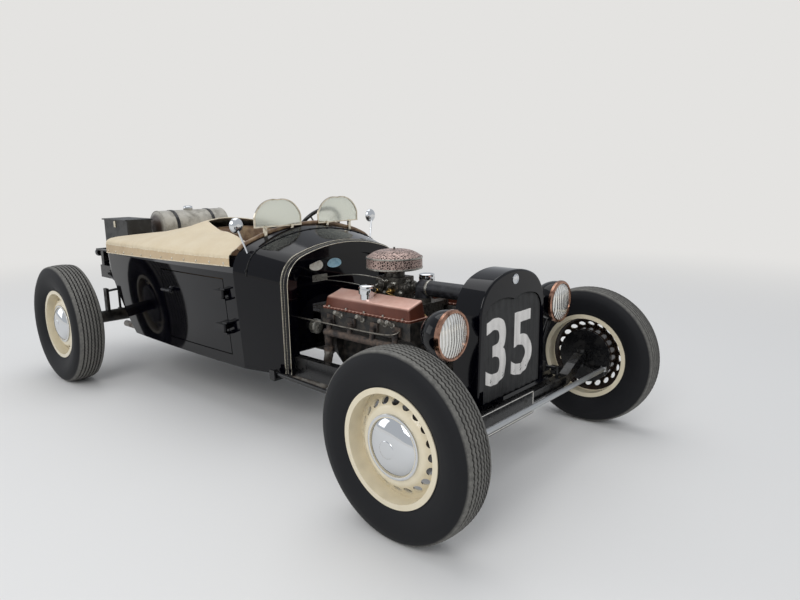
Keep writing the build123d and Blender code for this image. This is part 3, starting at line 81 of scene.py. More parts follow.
def new_material(name, colour, roughness, metallic=0.0, **values):
    """A material with its surface shader set, returned with its tree and that shader."""
    material = bpy.data.materials.new(name)
    material.use_nodes = True
    tree = material.node_tree
    surface = tree.nodes["Principled BSDF"]
    surface.inputs["Base Color"].default_value = linear(colour)
    surface.inputs["Roughness"].default_value = roughness
    surface.inputs["Metallic"].default_value = metallic
    for socket, value in values.items():
        surface.inputs[socket.replace("_", " ")].default_value = value
    return material, tree, surface


def look_along(yaw, pitch, roll):
    """The camera's turn: yaw from +Y towards -X, pitch above the horizon, roll to the right."""
    forward = Vector((-sin(yaw) * cos(pitch), cos(yaw) * cos(pitch), sin(pitch)))
    level = Vector((cos(yaw), sin(yaw), 0.0))
    upward = level.cross(forward)
    right = cos(roll) * level + sin(roll) * upward
    up = -sin(roll) * level + cos(roll) * upward
    return Matrix((right, up, -forward)).transposed()


camera_data = bpy.data.cameras.new("photo_camera")
camera = bpy.data.objects.new("photo_camera", camera_data)
bpy.context.scene.collection.objects.link(camera)
camera_data.sensor_width = 36.0
camera_data.lens = photo_focal_pixels / photo_width_pixels * camera_data.sensor_width
camera.matrix_world = Matrix.Translation(camera_place) @ look_along(
    camera_yaw, camera_pitch, camera_roll
).to_4x4()
bpy.context.scene.camera = camera

bpy.ops.mesh.primitive_plane_add(size=floor_size, location=(0, 0, 0))
floor = bpy.context.object
floor.name = "studio_floor"
card, tree, surface = new_material("matt_card", card_colour, 0.85)
where = add_node(tree, "TexCoord").outputs["Object"]
distance = add_node(tree, "VectorMath", {"operation": "LENGTH"}, links={"Vector": where})
fade = add_node(
    tree,
    "MapRange",
    {"interpolation_type": "SMOOTHSTEP"},
    {"From Min": shadow_full_reach, "From Max": shadow_floor_reach},
    {"Value": distance.outputs["Value"]},
)
wall_glow = add_node(tree, "Emission", values={"Color": linear(wall_colour)})
card_mix = add_node(
    tree, "MixShader",
    links={
        "Fac": fade.outputs["Result"], 1: surface.outputs["BSDF"], 2: wall_glow.outputs["Emission"],
    },
)
tree.links.new(card_mix.outputs["Shader"], tree.nodes["Material Output"].inputs["Surface"])
floor.data.materials.append(card)

world = bpy.data.worlds.new("studio")
bpy.context.scene.world = world
world.use_nodes = True
sky_tree = world.node_tree
sky_light = sky_tree.nodes["Background"]
sky_light.inputs["Color"].default_value = linear("#EEF2F8")
sky_light.inputs["Strength"].default_value = 0.62
ray = add_node(sky_tree, "LightPath")
seen_wall = add_node(sky_tree, "Background", values={"Color": linear(wall_colour)})
seen_or_sky = add_node(
    sky_tree, "MixShader",
    links={
        "Fac": ray.outputs["Is Camera Ray"], 1: sky_light.outputs["Background"],
        2: seen_wall.outputs["Background"],
    },
)
sky_out = sky_tree.nodes["World Output"]
sky_tree.links.new(seen_or_sky.outputs["Shader"], sky_out.inputs["Surface"])

for name, place, size, power in (
    ("window_light", (3.5, -6.0, 5.5), 4.0, 200),
    ("sky_light", (-1.0, 1.0, 7.5), 7.0, 200),
    ("fill_light", (-6.0, -5.0, 3.0), 4.0, 60),
):
    lamp_data = bpy.data.lights.new(name, "AREA")
    lamp_data.size = size
    lamp_data.energy = power
    lamp = bpy.data.objects.new(name, lamp_data)
    bpy.context.scene.collection.objects.link(lamp)
    lamp.location = place
    lamp.rotation_euler = (Vector((0, 0, 0.5)) - Vector(place)).to_track_quat("-Z", "Y").to_euler()
bpy.context.scene.view_settings.view_transform = "Standard"


# Chassis: pressed steel rails, forged axle and springs, brushed over with black enamel. It has gone
# satin with road dust, which lies grey in broad patches.
def patchy(tree, surface, clean, dusty, patch_mm, share=0.5, roughness=None):
    """Base colour in soft patches between two tones, as dust or wear lies on a finish."""
    where = add_node(tree, "TexCoord").outputs["Object"]
    patch = add_node(
        tree, "TexNoise", values={"Scale": 1000.0 / patch_mm, "Detail": 6.0, "Roughness": 0.62},
        links={"Vector": where},
    )
    spread = add_node(
        tree, "MapRange", values={"From Min": 0.62 - 0.3 * share, "From Max": 0.86 - 0.3 * share},
        links={"Value": patch.outputs["Fac"]},
    )
    tint = add_node(
        tree, "Mix", {"data_type": "RGBA"}, {6: linear(clean), 7: linear(dusty)},
        {"Factor": spread.outputs["Result"]},
    )
    tree.links.new(tint.outputs[2], surface.inputs["Base Color"])
    if roughness:
        gloss = add_node(
            tree, "MapRange", values={"To Min": roughness[0], "To Max": roughness[1]},
            links={"Value": spread.outputs["Result"]},
        )
        tree.links.new(gloss.outputs["Result"], surface.inputs["Roughness"])
    return where


def grained(tree, surface, where, grain_mm, depth_mm, strength=0.3, detail=3.0):
    """A fine bump over the whole finish, such as orange peel, casting sand or moulding grain."""
    grain = add_node(
        tree, "TexNoise", values={"Scale": 1000.0 / grain_mm, "Detail": detail},
        links={"Vector": where},
    )
    bump = add_node(
        tree, "Bump", values={"Strength": strength, "Distance": depth_mm / 1000.0},
        links={"Height": grain.outputs["Fac"]},
    )
    tree.links.new(bump.outputs["Normal"], surface.inputs["Normal"])


def weathered(name, colour, roughness, metallic, patches, grain=None, **values):
    """A material in soft patches of two tones, with a fine grain where one is given."""
    material, tree, surface = new_material(name, colour, roughness, metallic, **values)
    where = patchy(tree, surface, *patches)
    if grain:
        grained(tree, surface, where, *grain)
    return material


def finish_nodes(material, *names):
    """Give CAD nodes a finish."""
    for name in names:
        nodes[name].data.materials.clear()
        nodes[name].data.materials.append(material)


chassis_enamel = weathered(
    "brushed_black_enamel", "#0E0E10", 0.35, 0.0,
    ("#0C0C0E", "#2B2927", 70, 0.35, (0.26, 0.6)), (9, 0.4),
)
finish_nodes(
    chassis_enamel,
    "frame", "front_axle", "leaf_springs", "shock_absorbers", "knuckle_right", "knuckle_left",
    "pitman_arm", "drag_link", "radius_rods", "rear_rack", "steering_column", "floor",
)

# Rear axle: cast centre and drawn tubes under the same enamel, but oilier and dustier, as it hangs
# behind the wheels' spray. The oil keeps the low spots dark and glossy.
axle_paint = weathered(
    "oily_black_enamel", "#0E0D0C", 0.4, 0.0,
    ("#0D0C0B", "#3A342D", 45, 0.55, (0.3, 0.75)), (5, 0.5),
)
finish_nodes(axle_paint, "rear_axle")

# Tie rod: drawn steel tube, left bright under clear lacquer, dulled by the road. The draw marks run
# along it, across the car, so they are stretched along Y; they are drawn 1.4 mm wide, to show.
rod_steel, tree, surface = new_material("drawn_steel", "#B9BBBC", 0.33, 0.9)
where = add_node(tree, "TexCoord").outputs["Object"]
drawn = add_node(tree, "Mapping", values={"Scale": (1.0, 0.03, 1.0)}, links={"Vector": where})
lines = add_node(
    tree, "TexNoise", values={"Scale": 700.0, "Detail": 2.0},
    links={"Vector": drawn.outputs["Vector"]},
)
rub = add_node(
    tree, "MapRange", values={"To Min": 0.22, "To Max": 0.5}, links={"Value": lines.outputs["Fac"]}
)
tree.links.new(rub.outputs["Result"], surface.inputs["Roughness"])
finish_nodes(rod_steel, "tie_rod")

# Wheels: a pressed steel disc with a ring of round holes, riveted in a drop-centre rim and sprayed
# cream. The drum is brown-black with brake dust; the disc's back, also seen through the holes, is
# given the same brown-black as painted shade.
hands = (("right", -1), ("left", 1))
half_track = {"front": 0.747, "rear": 0.780}
tyre_reach = {"front": 0.356, "rear": 0.381}
axle_x = {"front": 1.522, "rear": -1.378}
hub_places = {
    end + "_" + hand: (axle_x[end], side * half_track[end], tyre_reach[end], side)
    for end in ("front", "rear")
    for hand, side in hands
}
disc_edge_r = 0.194
drum_r, drum_face = 0.1425, 0.0335
faces_back = -0.15


def wheel_paint(name, x, y, z, side):
    """Cream outside and on the rim; brown-black on the drum as brake dust and on the disc's back as painted
    shade, by place about the hub.
    """
    material, tree, surface = new_material(
        name, "#E3D8BE", 0.24, Coat_Weight=0.4, Coat_Roughness=0.08
    )
    where = add_node(tree, "TexCoord").outputs["Object"]
    hub = add_node(tree, "Mapping", values={"Location": (-x, -y, -z)}, links={"Vector": where})
    parts = add_node(tree, "SeparateXYZ", links={"Vector": hub.outputs["Vector"]})
    outward = add_node(tree, "Math", {"operation": "MULTIPLY"}, {1: side}, {0: parts.outputs["Y"]})
    flat = add_node(tree, "CombineXYZ", links={"X": parts.outputs["X"], "Z": parts.outputs["Z"]})
    radius = add_node(
        tree, "VectorMath", {"operation": "LENGTH"}, links={"Vector": flat.outputs["Vector"]}
    )
    facing = add_node(tree, "SeparateXYZ", links={"Vector": where.node.outputs["Normal"]})
    turned = add_node(tree, "Math", {"operation": "MULTIPLY"}, {1: side}, {0: facing.outputs["Y"]})
    # Painted shade: faces turned in towards the car, inside the disc's edge, are coloured dark.
    back = add_node(
        tree, "Math", {"operation": "LESS_THAN"}, {1: faces_back}, {0: turned.outputs["Value"]}
    )
    inside = add_node(
        tree, "Math", {"operation": "LESS_THAN"}, {1: disc_edge_r}, {0: radius.outputs["Value"]}
    )
    painted_shade_on_back = add_node(
        tree, "Math", {"operation": "MULTIPLY"},
        links={0: back.outputs["Value"], 1: inside.outputs["Value"]},
    )
    in_drum = add_node(
        tree, "Math", {"operation": "LESS_THAN"}, {1: drum_r}, {0: radius.outputs["Value"]}
    )
    low = add_node(
        tree, "Math", {"operation": "LESS_THAN"}, {1: drum_face}, {0: outward.outputs["Value"]}
    )
    drum = add_node(
        tree, "Math", {"operation": "MULTIPLY"},
        links={0: in_drum.outputs["Value"], 1: low.outputs["Value"]},
    )
    soot_and_painted_shade_mask = add_node(
        tree, "Math", {"operation": "MAXIMUM"},
        links={0: painted_shade_on_back.outputs["Value"], 1: drum.outputs["Value"]},
    )
    dust = add_node(
        tree, "TexNoise", values={"Scale": 22.0, "Detail": 6.0}, links={"Vector": where}
    )
    cream = add_node(
        tree, "Mix", {"data_type": "RGBA"}, {6: linear("#E9DFC6"), 7: linear("#D8CCB0")},
        {"Factor": dust.outputs["Fac"]},
    )
    # These dark tones are the drum's brake dust and the painted shade on the disc's back.
    soot_and_painted_shade_tone = add_node(
        tree, "Mix", {"data_type": "RGBA"}, {6: linear("#1C1714"), 7: linear("#3B2E27")},
        {"Factor": dust.outputs["Fac"]},
    )
    both = add_node(
        tree, "Mix", {"data_type": "RGBA"},
        links={"Factor": soot_and_painted_shade_mask.outputs["Value"], 6: cream.outputs[2], 7: soot_and_painted_shade_tone.outputs[2]},
    )
    tree.links.new(both.outputs[2], surface.inputs["Base Color"])
    grained(tree, surface, where, 6, 0.15, 0.12)
    return material


for wheel, (x, y, z, side) in hub_places.items():
    finish_nodes(wheel_paint("cream_enamel_" + wheel, x, y, z, side), "wheel_" + wheel)

# Hub caps: spun steel domes with a flat turned lip, chromium plated, pressed over spring clips on
# the disc. They mirror the ground below and the sky above; the centre is a bare raised boss.
cap_profile = (
    (0.0345, 0.1212), (0.0390, 0.1212), (0.0428, 0.1196), (0.0440, 0.1165), (0.0440, 0.1110),
    (0.0428, 0.1090), (0.0452, 0.1070), (0.0495, 0.1015), (0.0560, 0.0910), (0.0617, 0.0775),
    (0.0662, 0.0620), (0.0692, 0.0450), (0.0703, 0.0330), (0.0716, 0.0318), (0.0722, 0.0290),
    (0.0727, 0.0180), (0.0729, 0.0001),
)
cap_steps = 72


def settle(name):
    """The piece just added, named, with its place and turn moved into its mesh."""
    piece = bpy.context.object
    piece.name = name
    piece.data.name = name
    bpy.ops.object.transform_apply(location=True, rotation=True, scale=True)
    return piece


def turn_on_lathe(name, profile, centre, axis, steps, closed=False):
    """A point drawn out along a profile of (distance along axis, radius) pairs, then spun round it."""
    axis = Vector(axis).normalized()
    across = axis.orthogonal().normalized()
    places = [Vector(centre) + axis * along + across * radius for along, radius in profile]
    if closed:
        places.append(places[0])
    bpy.ops.mesh.primitive_plane_add(size=0.001, location=places[0])
    piece = settle(name)
    bpy.ops.object.mode_set(mode="EDIT")
    bpy.ops.mesh.select_mode(type="VERT")
    bpy.ops.mesh.select_all(action="SELECT")
    bpy.ops.mesh.merge(type="CENTER")
    for start, end in zip(places, places[1:]):
        bpy.ops.mesh.extrude_region_move(TRANSFORM_OT_translate={"value": end - start})
    bpy.ops.mesh.select_all(action="SELECT")
    bpy.ops.mesh.spin(steps=steps, angle=2 * pi, center=centre, axis=axis)
    bpy.ops.mesh.select_all(action="SELECT")
    bpy.ops.mesh.remove_doubles(threshold=0.00015)
    bpy.ops.mesh.normals_make_consistent(inside=False)
    bpy.ops.object.mode_set(mode="OBJECT")
    bpy.ops.object.shade_smooth_by_angle(angle=radians(38))
    return piece


def copy_of(piece, name, moved):
    """A copy with its own mesh, moved and turned by a matrix."""
    twin = piece.copy()
    twin.data = piece.data.copy()
    twin.name = name
    twin.data.name = name
    twin.data.transform(moved)
    bpy.context.scene.collection.objects.link(twin)
    return twin


def hub_move(wheel):
    """What carries a piece modelled at the front right hub to another hub."""
    x, y, z, side = hub_places[wheel]
    x0, y0, z0, first_side = hub_places["front_right"]
    turn = Matrix.Rotation(0.0 if side == first_side else pi, 4, "Z")
    return Matrix.Translation((x, y, z)) @ turn @ Matrix.Translation((-x0, -y0, -z0))


def dress(piece, material, body):
    """The last steps for a piece: its finish and the body it rides on."""
    piece.data.materials.clear()
    piece.data.materials.append(material)
    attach(piece, body)


chrome, tree, surface = new_material("chromium_plate", "#D9DBDD", 0.05, 1.0)
where = add_node(tree, "TexCoord").outputs["Object"]
haze = add_node(tree, "TexNoise", values={"Scale": 30.0, "Detail": 5.0}, links={"Vector": where})
wiped = add_node(
    tree, "MapRange", values={"To Min": 0.03, "To Max": 0.12}, links={"Value": haze.outputs["Fac"]}
)
tree.links.new(wiped.outputs["Result"], surface.inputs["Roughness"])

x0, y0, z0, side0 = hub_places["front_right"]
hub_cap = turn_on_lathe("hub_cap_front_right", cap_profile, (x0, y0, z0), (0, side0, 0), cap_steps)
dress(hub_cap, chrome, "wheel_front_right")
for wheel in ("front_left", "rear_right", "rear_left"):
    cap = copy_of(hub_cap, "hub_cap_" + wheel, hub_move(wheel))
    dress(cap, chrome, "wheel_" + wheel)

# Tyres: cross-ply rubber with straight ribs whose groove edges zigzag, moulded side rings and a
# plain dark wall. The ribs' tops are worn grey with dust and the grooves stay black.
groove_depth = 0.0075
groove_half = 0.0031
groove_flare = 0.0009
groove_wander = 0.0023
rib_count = 7
tread_steps = 216
tread_margin = 0.020
shoulder_drop = 0.008
wall_steps = 14
ring_height = 0.0011
ring_steps = (2, 9, 11)
rib_slack = 0.004
worn_depth = 0.0035
bead_half = 0.0577
bead_r = 0.2034
bead_top_r = 0.2205


def tyre_profile(reach, half):
    """Points (across, radius) from bead to bead over the walls, the ribs and their grooves."""
    shoulder = (half - tread_margin, reach - shoulder_drop)
    middle = (half, (bead_top_r + reach) / 2)
    wall = []
    for i in range(1, wall_steps):
        t = i / wall_steps
        a, b, c = 2 * (t - 0.5) * (t - 1), 4 * t * (1 - t), 2 * t * (t - 0.5)
        across = bead_half * a + middle[0] * b + shoulder[0] * c + ring_height * (i in ring_steps)
        wall.append((across, bead_top_r * a + middle[1] * b + shoulder[1] * c))
    tread = []
    span = shoulder[0]
    pitch = 2 * span / rib_count
    for i in range(1, rib_count):
        middle_y = -span + pitch * i
        top = reach - shoulder_drop * (middle_y / span) ** 2
        edge = groove_half + groove_flare
        tread += [
            (middle_y - edge, top), (middle_y - groove_half, top - groove_depth),
            (middle_y + groove_half, top - groove_depth), (middle_y + edge, top),
        ]
    wall = [(bead_half, bead_r), (bead_half, bead_top_r)] + wall + [shoulder]
    return [(-across, radius) for across, radius in wall] + tread + wall[::-1]


def mould_tyre(name, wheel, half):
    """One tyre spun about its hub, its groove edges then moved to and fro from step to step."""
    x, y, z = hub_places[wheel][:3]
    full_reach = tyre_reach[wheel.split("_")[0]]
    tyre = turn_on_lathe(
        name, tyre_profile(full_reach, half), (x, y, z), (0, 1, 0), tread_steps, closed=True
    )
    span = half - tread_margin
    dust = tyre.data.attributes.new("tread_top", "FLOAT", "POINT")
    for i, vertex in enumerate(tyre.data.vertices):
        across, radius = vertex.co.y - y, hypot(vertex.co.x - x, vertex.co.z - z)
        reach = full_reach - shoulder_drop * min(1.0, abs(across) / span) ** 2
        on_top = abs(across) < span + rib_slack and radius > reach - worn_depth
        dust.data[i].value = 1.0 if on_top else 0.0
        if abs(across) < span - rib_slack and radius > reach - groove_depth - 0.002:
            step = round(atan2(vertex.co.z - z, vertex.co.x - x) / (2 * pi) * tread_steps)
            vertex.co.y += groove_wander if step % 2 else -groove_wander
    return tyre


rubber, tree, surface = new_material("moulded_tyre_rubber", "#101014", 0.62, Specular_IOR_Level=0.3)
where = add_node(tree, "TexCoord").outputs["Object"]
scuff = add_node(
    tree, "TexNoise", values={"Scale": 60.0, "Detail": 7.0, "Roughness": 0.7},
    links={"Vector": where},
)
top = add_node(tree, "Attribute", {"attribute_name": "tread_top"})
worn = add_node(
    tree, "Math", {"operation": "MULTIPLY"}, links={0: top.outputs["Fac"], 1: scuff.outputs["Fac"]}
)
grey = add_node(
    tree, "Mix", {"data_type": "RGBA"}, {6: linear("#0E0F13"), 7: linear("#8E8C86")},
    {"Factor": worn.outputs["Value"]},
)
tree.links.new(grey.outputs[2], surface.inputs["Base Color"])
grained(tree, surface, where, 3, 0.2, 0.25)

tyre_half = {"front": 0.078, "rear": 0.091}
for end in ("front", "rear"):
    right = mould_tyre("tread_tyre_" + end + "_right", end + "_right", tyre_half[end])
    across = Matrix.Translation((0, 2 * half_track[end], 0))
    left = copy_of(right, "tread_tyre_" + end + "_left", across)
    for tyre, hand in ((right, "right"), (left, "left")):
        dress(tyre, rubber, "wheel_" + end + "_" + hand)
        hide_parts("tyre_" + end + "_" + hand)

# Body: hammered and rolled steel panels, welded at the corners and sprayed in black cellulose, then
# flatted and polished until it mirrors the ground. Behind the shine there is a faint orange peel.
cellulose = weathered(
    "black_cellulose", "#02020A", 0.06, 0.0,
    ("#020207", "#07070C", 400, 0.5, (0.05, 0.13)), (5, 0.3, 0.05, 2.0), IOR=1.36,
)
finish_nodes(cellulose, "tub", "cowl", "firewall", "door_right", "door_left", "radiator_shell")

# Door pulls: turned steel levers, sprayed with the body and screwed through the skin over the plain
# post. Each is held by a round rose and tapers towards the end that the fingers pull.
pull_x, pull_z = -0.488, 0.660
pull_stands_in = 0.012
for hand, side in hands:
    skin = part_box("door_" + hand)[0 if side < 0 else 1][1]
    grip_y = side * (abs(skin) - pull_stands_in)
    pull = turn_on_lathe(
        "door_pull_" + hand,
        ((-0.056, 0.0002), (-0.055, 0.0060), (-0.050, 0.0092), (-0.020, 0.0100), (0.018, 0.0088),
         (0.050, 0.0083), (0.058, 0.0105), (0.062, 0.0070), (0.063, 0.0002)),
        (pull_x, grip_y, pull_z), (-1, 0, 0), 20,
    )
    rose = turn_on_lathe(
        "pull_rose_" + hand,
        ((-0.006, 0.0002), (-0.006, 0.0120), (0.018, 0.0125), (0.024, 0.0215), (0.027, 0.0240),
         (0.036, 0.0245), (0.036, 0.0002)),
        (pull_x, grip_y, pull_z), (0, -side, 0), 28,
    )
    bpy.ops.object.select_all(action="DESELECT")
    rose.select_set(True)
    pull.select_set(True)
    bpy.context.view_layer.objects.active = pull
    bpy.ops.object.join()
    dress(pull, cellulose, "door_" + hand)

# Bonnet seat on the cowl: the panel's front edge is rolled to a bead and bright-edged, and behind it
# runs a woven lacing, sewn in two rows, on which a bonnet would rest.
cowl_front, cowl_rear = 0.472, 0.167
cowl_front_sizes = (0.402, 0.760, 0.950, 0.402)
cowl_rear_sizes = (0.510, 0.815, 1.035, 0.474)
cowl_shoulder = 0.150
cowl_foot_z = 0.300
seat_foot_z = 0.31
nickel = weathered(
    "nickel_plated_brass", "#CFC6B2", 0.16, 1.0, ("#D4CDBD", "#A79B82", 25, 0.45, (0.1, 0.34))
)


def cowl_line(x, proud, lowest=0.30, points_a_side=40):
    """Points over the cowl at x, from its right foot over the crown to its left, raised by proud."""
    share = (x - cowl_front) / (cowl_rear - cowl_front)
    sizes = [a + (b - a) * share for a, b in zip(cowl_front_sizes, cowl_rear_sizes)]
    half, spring_z, top_z, foot = sizes
    run, rise = half - cowl_shoulder, top_z - spring_z
    crown_r = (run ** 2 + rise ** 2 - cowl_shoulder ** 2) / (2 * (rise - cowl_shoulder))
    crown_z = top_z - crown_r
    lean = atan2(spring_z - crown_z, run)
    foot_z = max(lowest, cowl_foot_z)
    corner_r = cowl_shoulder + proud
    points_up = points_a_side // 2
    right = []
    for i in range(points_up):
        z = foot_z + (spring_z - foot_z) * i / points_up
        side = foot + (half - foot) * (z - cowl_foot_z) / (spring_z - cowl_foot_z)
        right.append((side + proud, z))
    for i in range(points_up):
        angle = lean * i / points_up
        right.append((run + corner_r * cos(angle), spring_z + corner_r * sin(angle)))
    for i in range(points_a_side):
        angle = lean + (pi / 2 - lean) * i / points_a_side
        right.append(((crown_r + proud) * cos(angle), crown_z + (crown_r + proud) * sin(angle)))
    right.append((0.0, top_z + proud))
    left = [(-y, z) for y, z in right[-2::-1]]
    return [Vector((x, -y, z)) for y, z in right + left]


def take(piece):
    """Select a piece alone and make it the active one."""
    bpy.ops.object.select_all(action="DESELECT")
    piece.select_set(True)
    bpy.context.view_layer.objects.active = piece


def piece_from(name, points, faces):
    """A piece made of points and faces, taken up for its next steps."""
    mesh = bpy.data.meshes.new(name)
    mesh.from_pydata(points, [], faces)
    piece = bpy.data.objects.new(name, mesh)
    bpy.context.scene.collection.objects.link(piece)
    take(piece)
    return piece


def face_one_way():
    """Turn the taken piece's faces to agree with one another."""
    bpy.ops.object.mode_set(mode="EDIT")
    bpy.ops.mesh.select_all(action="SELECT")
    bpy.ops.mesh.normals_make_consistent(inside=False)
    bpy.ops.object.mode_set(mode="OBJECT")


def strip_over_cowl(name, section, lowest):
    """A moulding laid over the cowl: its section is a closed run of (x, height above the panel)."""
    rows = [cowl_line(x, proud, lowest) for x, proud in section]
    count = len(rows[0])
    faces = []
    starts = [i * count for i in range(len(rows))]
    for a, b in zip(starts, starts[1:] + starts[:1]):
        faces += [(a + j, a + j + 1, b + j + 1, b + j) for j in range(count - 1)]
    faces.append(tuple(starts))
    faces.append(tuple(a + count - 1 for a in reversed(starts)))
    strip = piece_from(name, [p for row in rows for p in row], faces)
    face_one_way()
    bpy.ops.object.shade_smooth_by_angle(angle=radians(35))
    return strip


def bent_wire(name, points, radius, closed=False, roundness=2):
    """A round wire bent along points: a curve given a round section, then made a mesh."""
    path = bpy.data.curves.new(name, "CURVE")
    path.dimensions = "3D"
    path.bevel_depth = radius
    path.bevel_resolution = roundness
    path.use_fill_caps = True
    run = path.splines.new("POLY")
    run.points.add(len(points) - 1)
    for point, place in zip(run.points, points):
        point.co = (*place, 1.0)
    run.use_cyclic_u = closed
    wire = bpy.data.objects.new(name, path)
    bpy.context.scene.collection.objects.link(wire)
    take(wire)
    bpy.ops.object.convert(target="MESH")
    wire = bpy.context.object
    wire.name = name
    wire.data.name = name
    bpy.ops.object.shade_smooth_by_angle(angle=radians(50))
    return wire


def even_places(points, pitch, margin=0.0):
    """Places along a run of points, a pitch apart, each with the run's direction there."""
    places, left = [], margin
    for a, b in zip(points, points[1:]):
        length = (b - a).length
        while left <= length:
            places.append((a.lerp(b, left / length), (b - a).normalized()))
            left += pitch
        left -= length
    return places


def aimed(place, way, axis="X", up="Z"):
    """What sets a small piece down at a place with one of its axes along a direction."""
    return Matrix.Translation(place) @ way.to_track_quat(axis, up).to_matrix().to_4x4()


def repeat_piece(name, seed, moves):
    """One joined mesh of a small piece repeated, each copy set by its own matrix."""
    whole = bmesh.new()
    for move in moves:
        first = len(whole.verts)
        whole.from_mesh(seed.data)
        whole.verts.ensure_lookup_table()
        bmesh.ops.transform(whole, matrix=move, verts=whole.verts[first:])
    mesh = bpy.data.meshes.new(name)
    whole.to_mesh(mesh)
    whole.free()
    many = bpy.data.objects.new(name, mesh)
    bpy.context.scene.collection.objects.link(many)
    bpy.data.objects.remove(seed)
    return many


roll = strip_over_cowl(
    "cowl_rolled_edge",
    ((0.4570, -0.0008), (0.4580, 0.0030), (0.4615, 0.0050), (0.4665, 0.0052), (0.4705, 0.0034),
     (0.4728, -0.0008)),
    seat_foot_z,
)
dress(roll, cellulose, "car")
bright_edge = bent_wire("cowl_bright_edge", cowl_line(0.4722, 0.0012, seat_foot_z), 0.0022)
dress(bright_edge, nickel, "car")
rear_bright = bent_wire("lacing_rear_edge", cowl_line(0.4350, 0.0006, seat_foot_z), 0.0017)
dress(rear_bright, nickel, "car")

lacing = weathered(
    "woven_bonnet_lacing", "#1B1B1D", 0.85, 0.0, ("#151517", "#34322E", 6, 0.5), (2.5, 0.8, 0.6)
)
tape = strip_over_cowl(
    "bonnet_lacing",
    ((0.4372, -0.0008), (0.4380, 0.0020), (0.4465, 0.0030), (0.4552, 0.0020), (0.4560, -0.0008)),
    seat_foot_z,
)
dress(tape, lacing, "car")

lacing_thread = weathered(
    "waxed_lacing_thread", "#B5AD98", 0.6, 0.0, ("#BDB6A2", "#7A7263", 8, 0.5)
)
stitch_rows, stitch_pitch = (0.4402, 0.4530), 0.0082
moves = [
    aimed(place, along)
    for x in stitch_rows
    for place, along in even_places(cowl_line(x, 0.0024, seat_foot_z), stitch_pitch, 0.004)
]
bpy.ops.mesh.primitive_ico_sphere_add(subdivisions=1, radius=0.0018, scale=(1.5, 1.0, 0.8))
stitch = settle("lacing_stitch")
stitches = repeat_piece("lacing_stitches", stitch, moves)
dress(stitches, lacing_thread, "car")

# Cowl beading: a black cord under a strip of painted cloth, tacked over the joint of the cowl's top
# and the dash, with small round-headed fasteners for the cover along it.
beading_x, tack_pitch = 0.2450, 0.062
beading = bent_wire("cowl_beading", cowl_line(beading_x, 0.0012, 0.84), 0.0032)
dress(beading, lacing, "car")
moves = [
    aimed(place, along)
    for place, along in even_places(cowl_line(beading_x, 0.0044, 0.86), tack_pitch, 0.03)
]
bpy.ops.mesh.primitive_uv_sphere_add(segments=10, ring_count=6, radius=0.0048, scale=(1, 1, 0.55))
tack = settle("beading_tack")
tacks = repeat_piece("beading_tacks", tack, moves)
dress(tacks, cellulose, "car")

# Dash roll: a horsehair roll covered in brown hide, tacked along the dash's top edge under a welt.
# It is worn pale where arms rest on it. Its grain is drawn 2.4 mm across, coarser than real.
hide, tree, surface = new_material("tanned_hide", "#7B5F42", 0.42, Sheen_Weight=0.15)
where = patchy(tree, surface, "#6E5238", "#A08765", 60, 0.6, (0.32, 0.55))
grain_cells = add_node(
    tree, "TexVoronoi", values={"Scale": 420.0, "Randomness": 0.9}, links={"Vector": where}
)
grain_bump = add_node(
    tree, "Bump", values={"Strength": 0.35, "Distance": 0.0006},
    links={"Height": grain_cells.outputs["Distance"]},
)
tree.links.new(grain_bump.outputs["Normal"], surface.inputs["Normal"])
roll_x, roll_ends_z = 0.1610, 0.93
roll_line = [
    p + Vector((0, 0, 0.001 * sin(40 * p.y)))
    for p in cowl_line(roll_x, 0.0035, cowl_foot_z, 96) if p.z > roll_ends_z
]
dash_roll = bent_wire("dash_roll", roll_line, 0.0115, roundness=4)
dress(dash_roll, hide, "car")

# Tonneau cover: one sheet of proofed cotton duck, cut to the tub's plan, its side band sewn on with a
# bound hem and held by snaps. It is closed behind the seats and open on the driver's side.
tub_tail_x = -1.418
tub_corner_r = 0.100
tub_side_end_x = -1.318
tub_dash_x = 0.167
tub_dash_half, tub_waist_half, tub_tail_half = 0.510, 0.522, 0.495
cover_out = 0.0056
cover_seat_x = -0.578
cover_front_x = 0.150
cover_cut_start, cover_cut_end = -0.186, -0.410
canvas_thick = 0.0022
crown_stations = ((-1.438, 0.925), (-1.078, 0.965), (-0.628, 1.040), (0.167, 1.058))
cover_edge_z, cover_arch_half = 0.905, 0.540
swells = (
    (0.020, -0.585, 0.085, -0.13, 0.20),
    (-0.013, -0.330, 0.150, -0.29, 0.055),
)
pucker_reach = 0.09
edge_round = 0.020
seam_fraction = 0.25
side_from_y = 0.38


def tub_half(x):
    """Half the tub's width over its outside at x, along the sides and round the rear corners."""
    if x < tub_side_end_x:
        reach = tub_corner_r + cover_out
        back = min(reach, tub_side_end_x - x)
        return tub_tail_half - tub_corner_r + sqrt(max(0.0, reach ** 2 - back ** 2))
    middle, half_run = (tub_dash_x + tub_side_end_x) / 2, (tub_dash_x - tub_side_end_x) / 2
    slope = (tub_dash_half - tub_tail_half) / (tub_dash_x - tub_side_end_x)
    chord = (tub_dash_half + tub_tail_half) / 2 + slope * (x - middle)
    bulge = tub_waist_half - (tub_dash_half + tub_tail_half) / 2
    return chord + bulge * (1 - ((x - middle) / half_run) ** 2) + cover_out


def hem_height(x):
    """The hem, which climbs a little towards the dash."""
    return 0.8140 + 0.021 * (x - tub_tail_x)


def crown_height(x):
    """The cover's height on the centre line: rising from the tail, highest over the seat's back."""
    for (x1, z1), (x2, z2) in zip(crown_stations, crown_stations[1:]):
        if x <= x2:
            t = max(0.0, (x - x1) / (x2 - x1))
            return z1 + (z2 - z1) * t
    return crown_stations[-1][1]


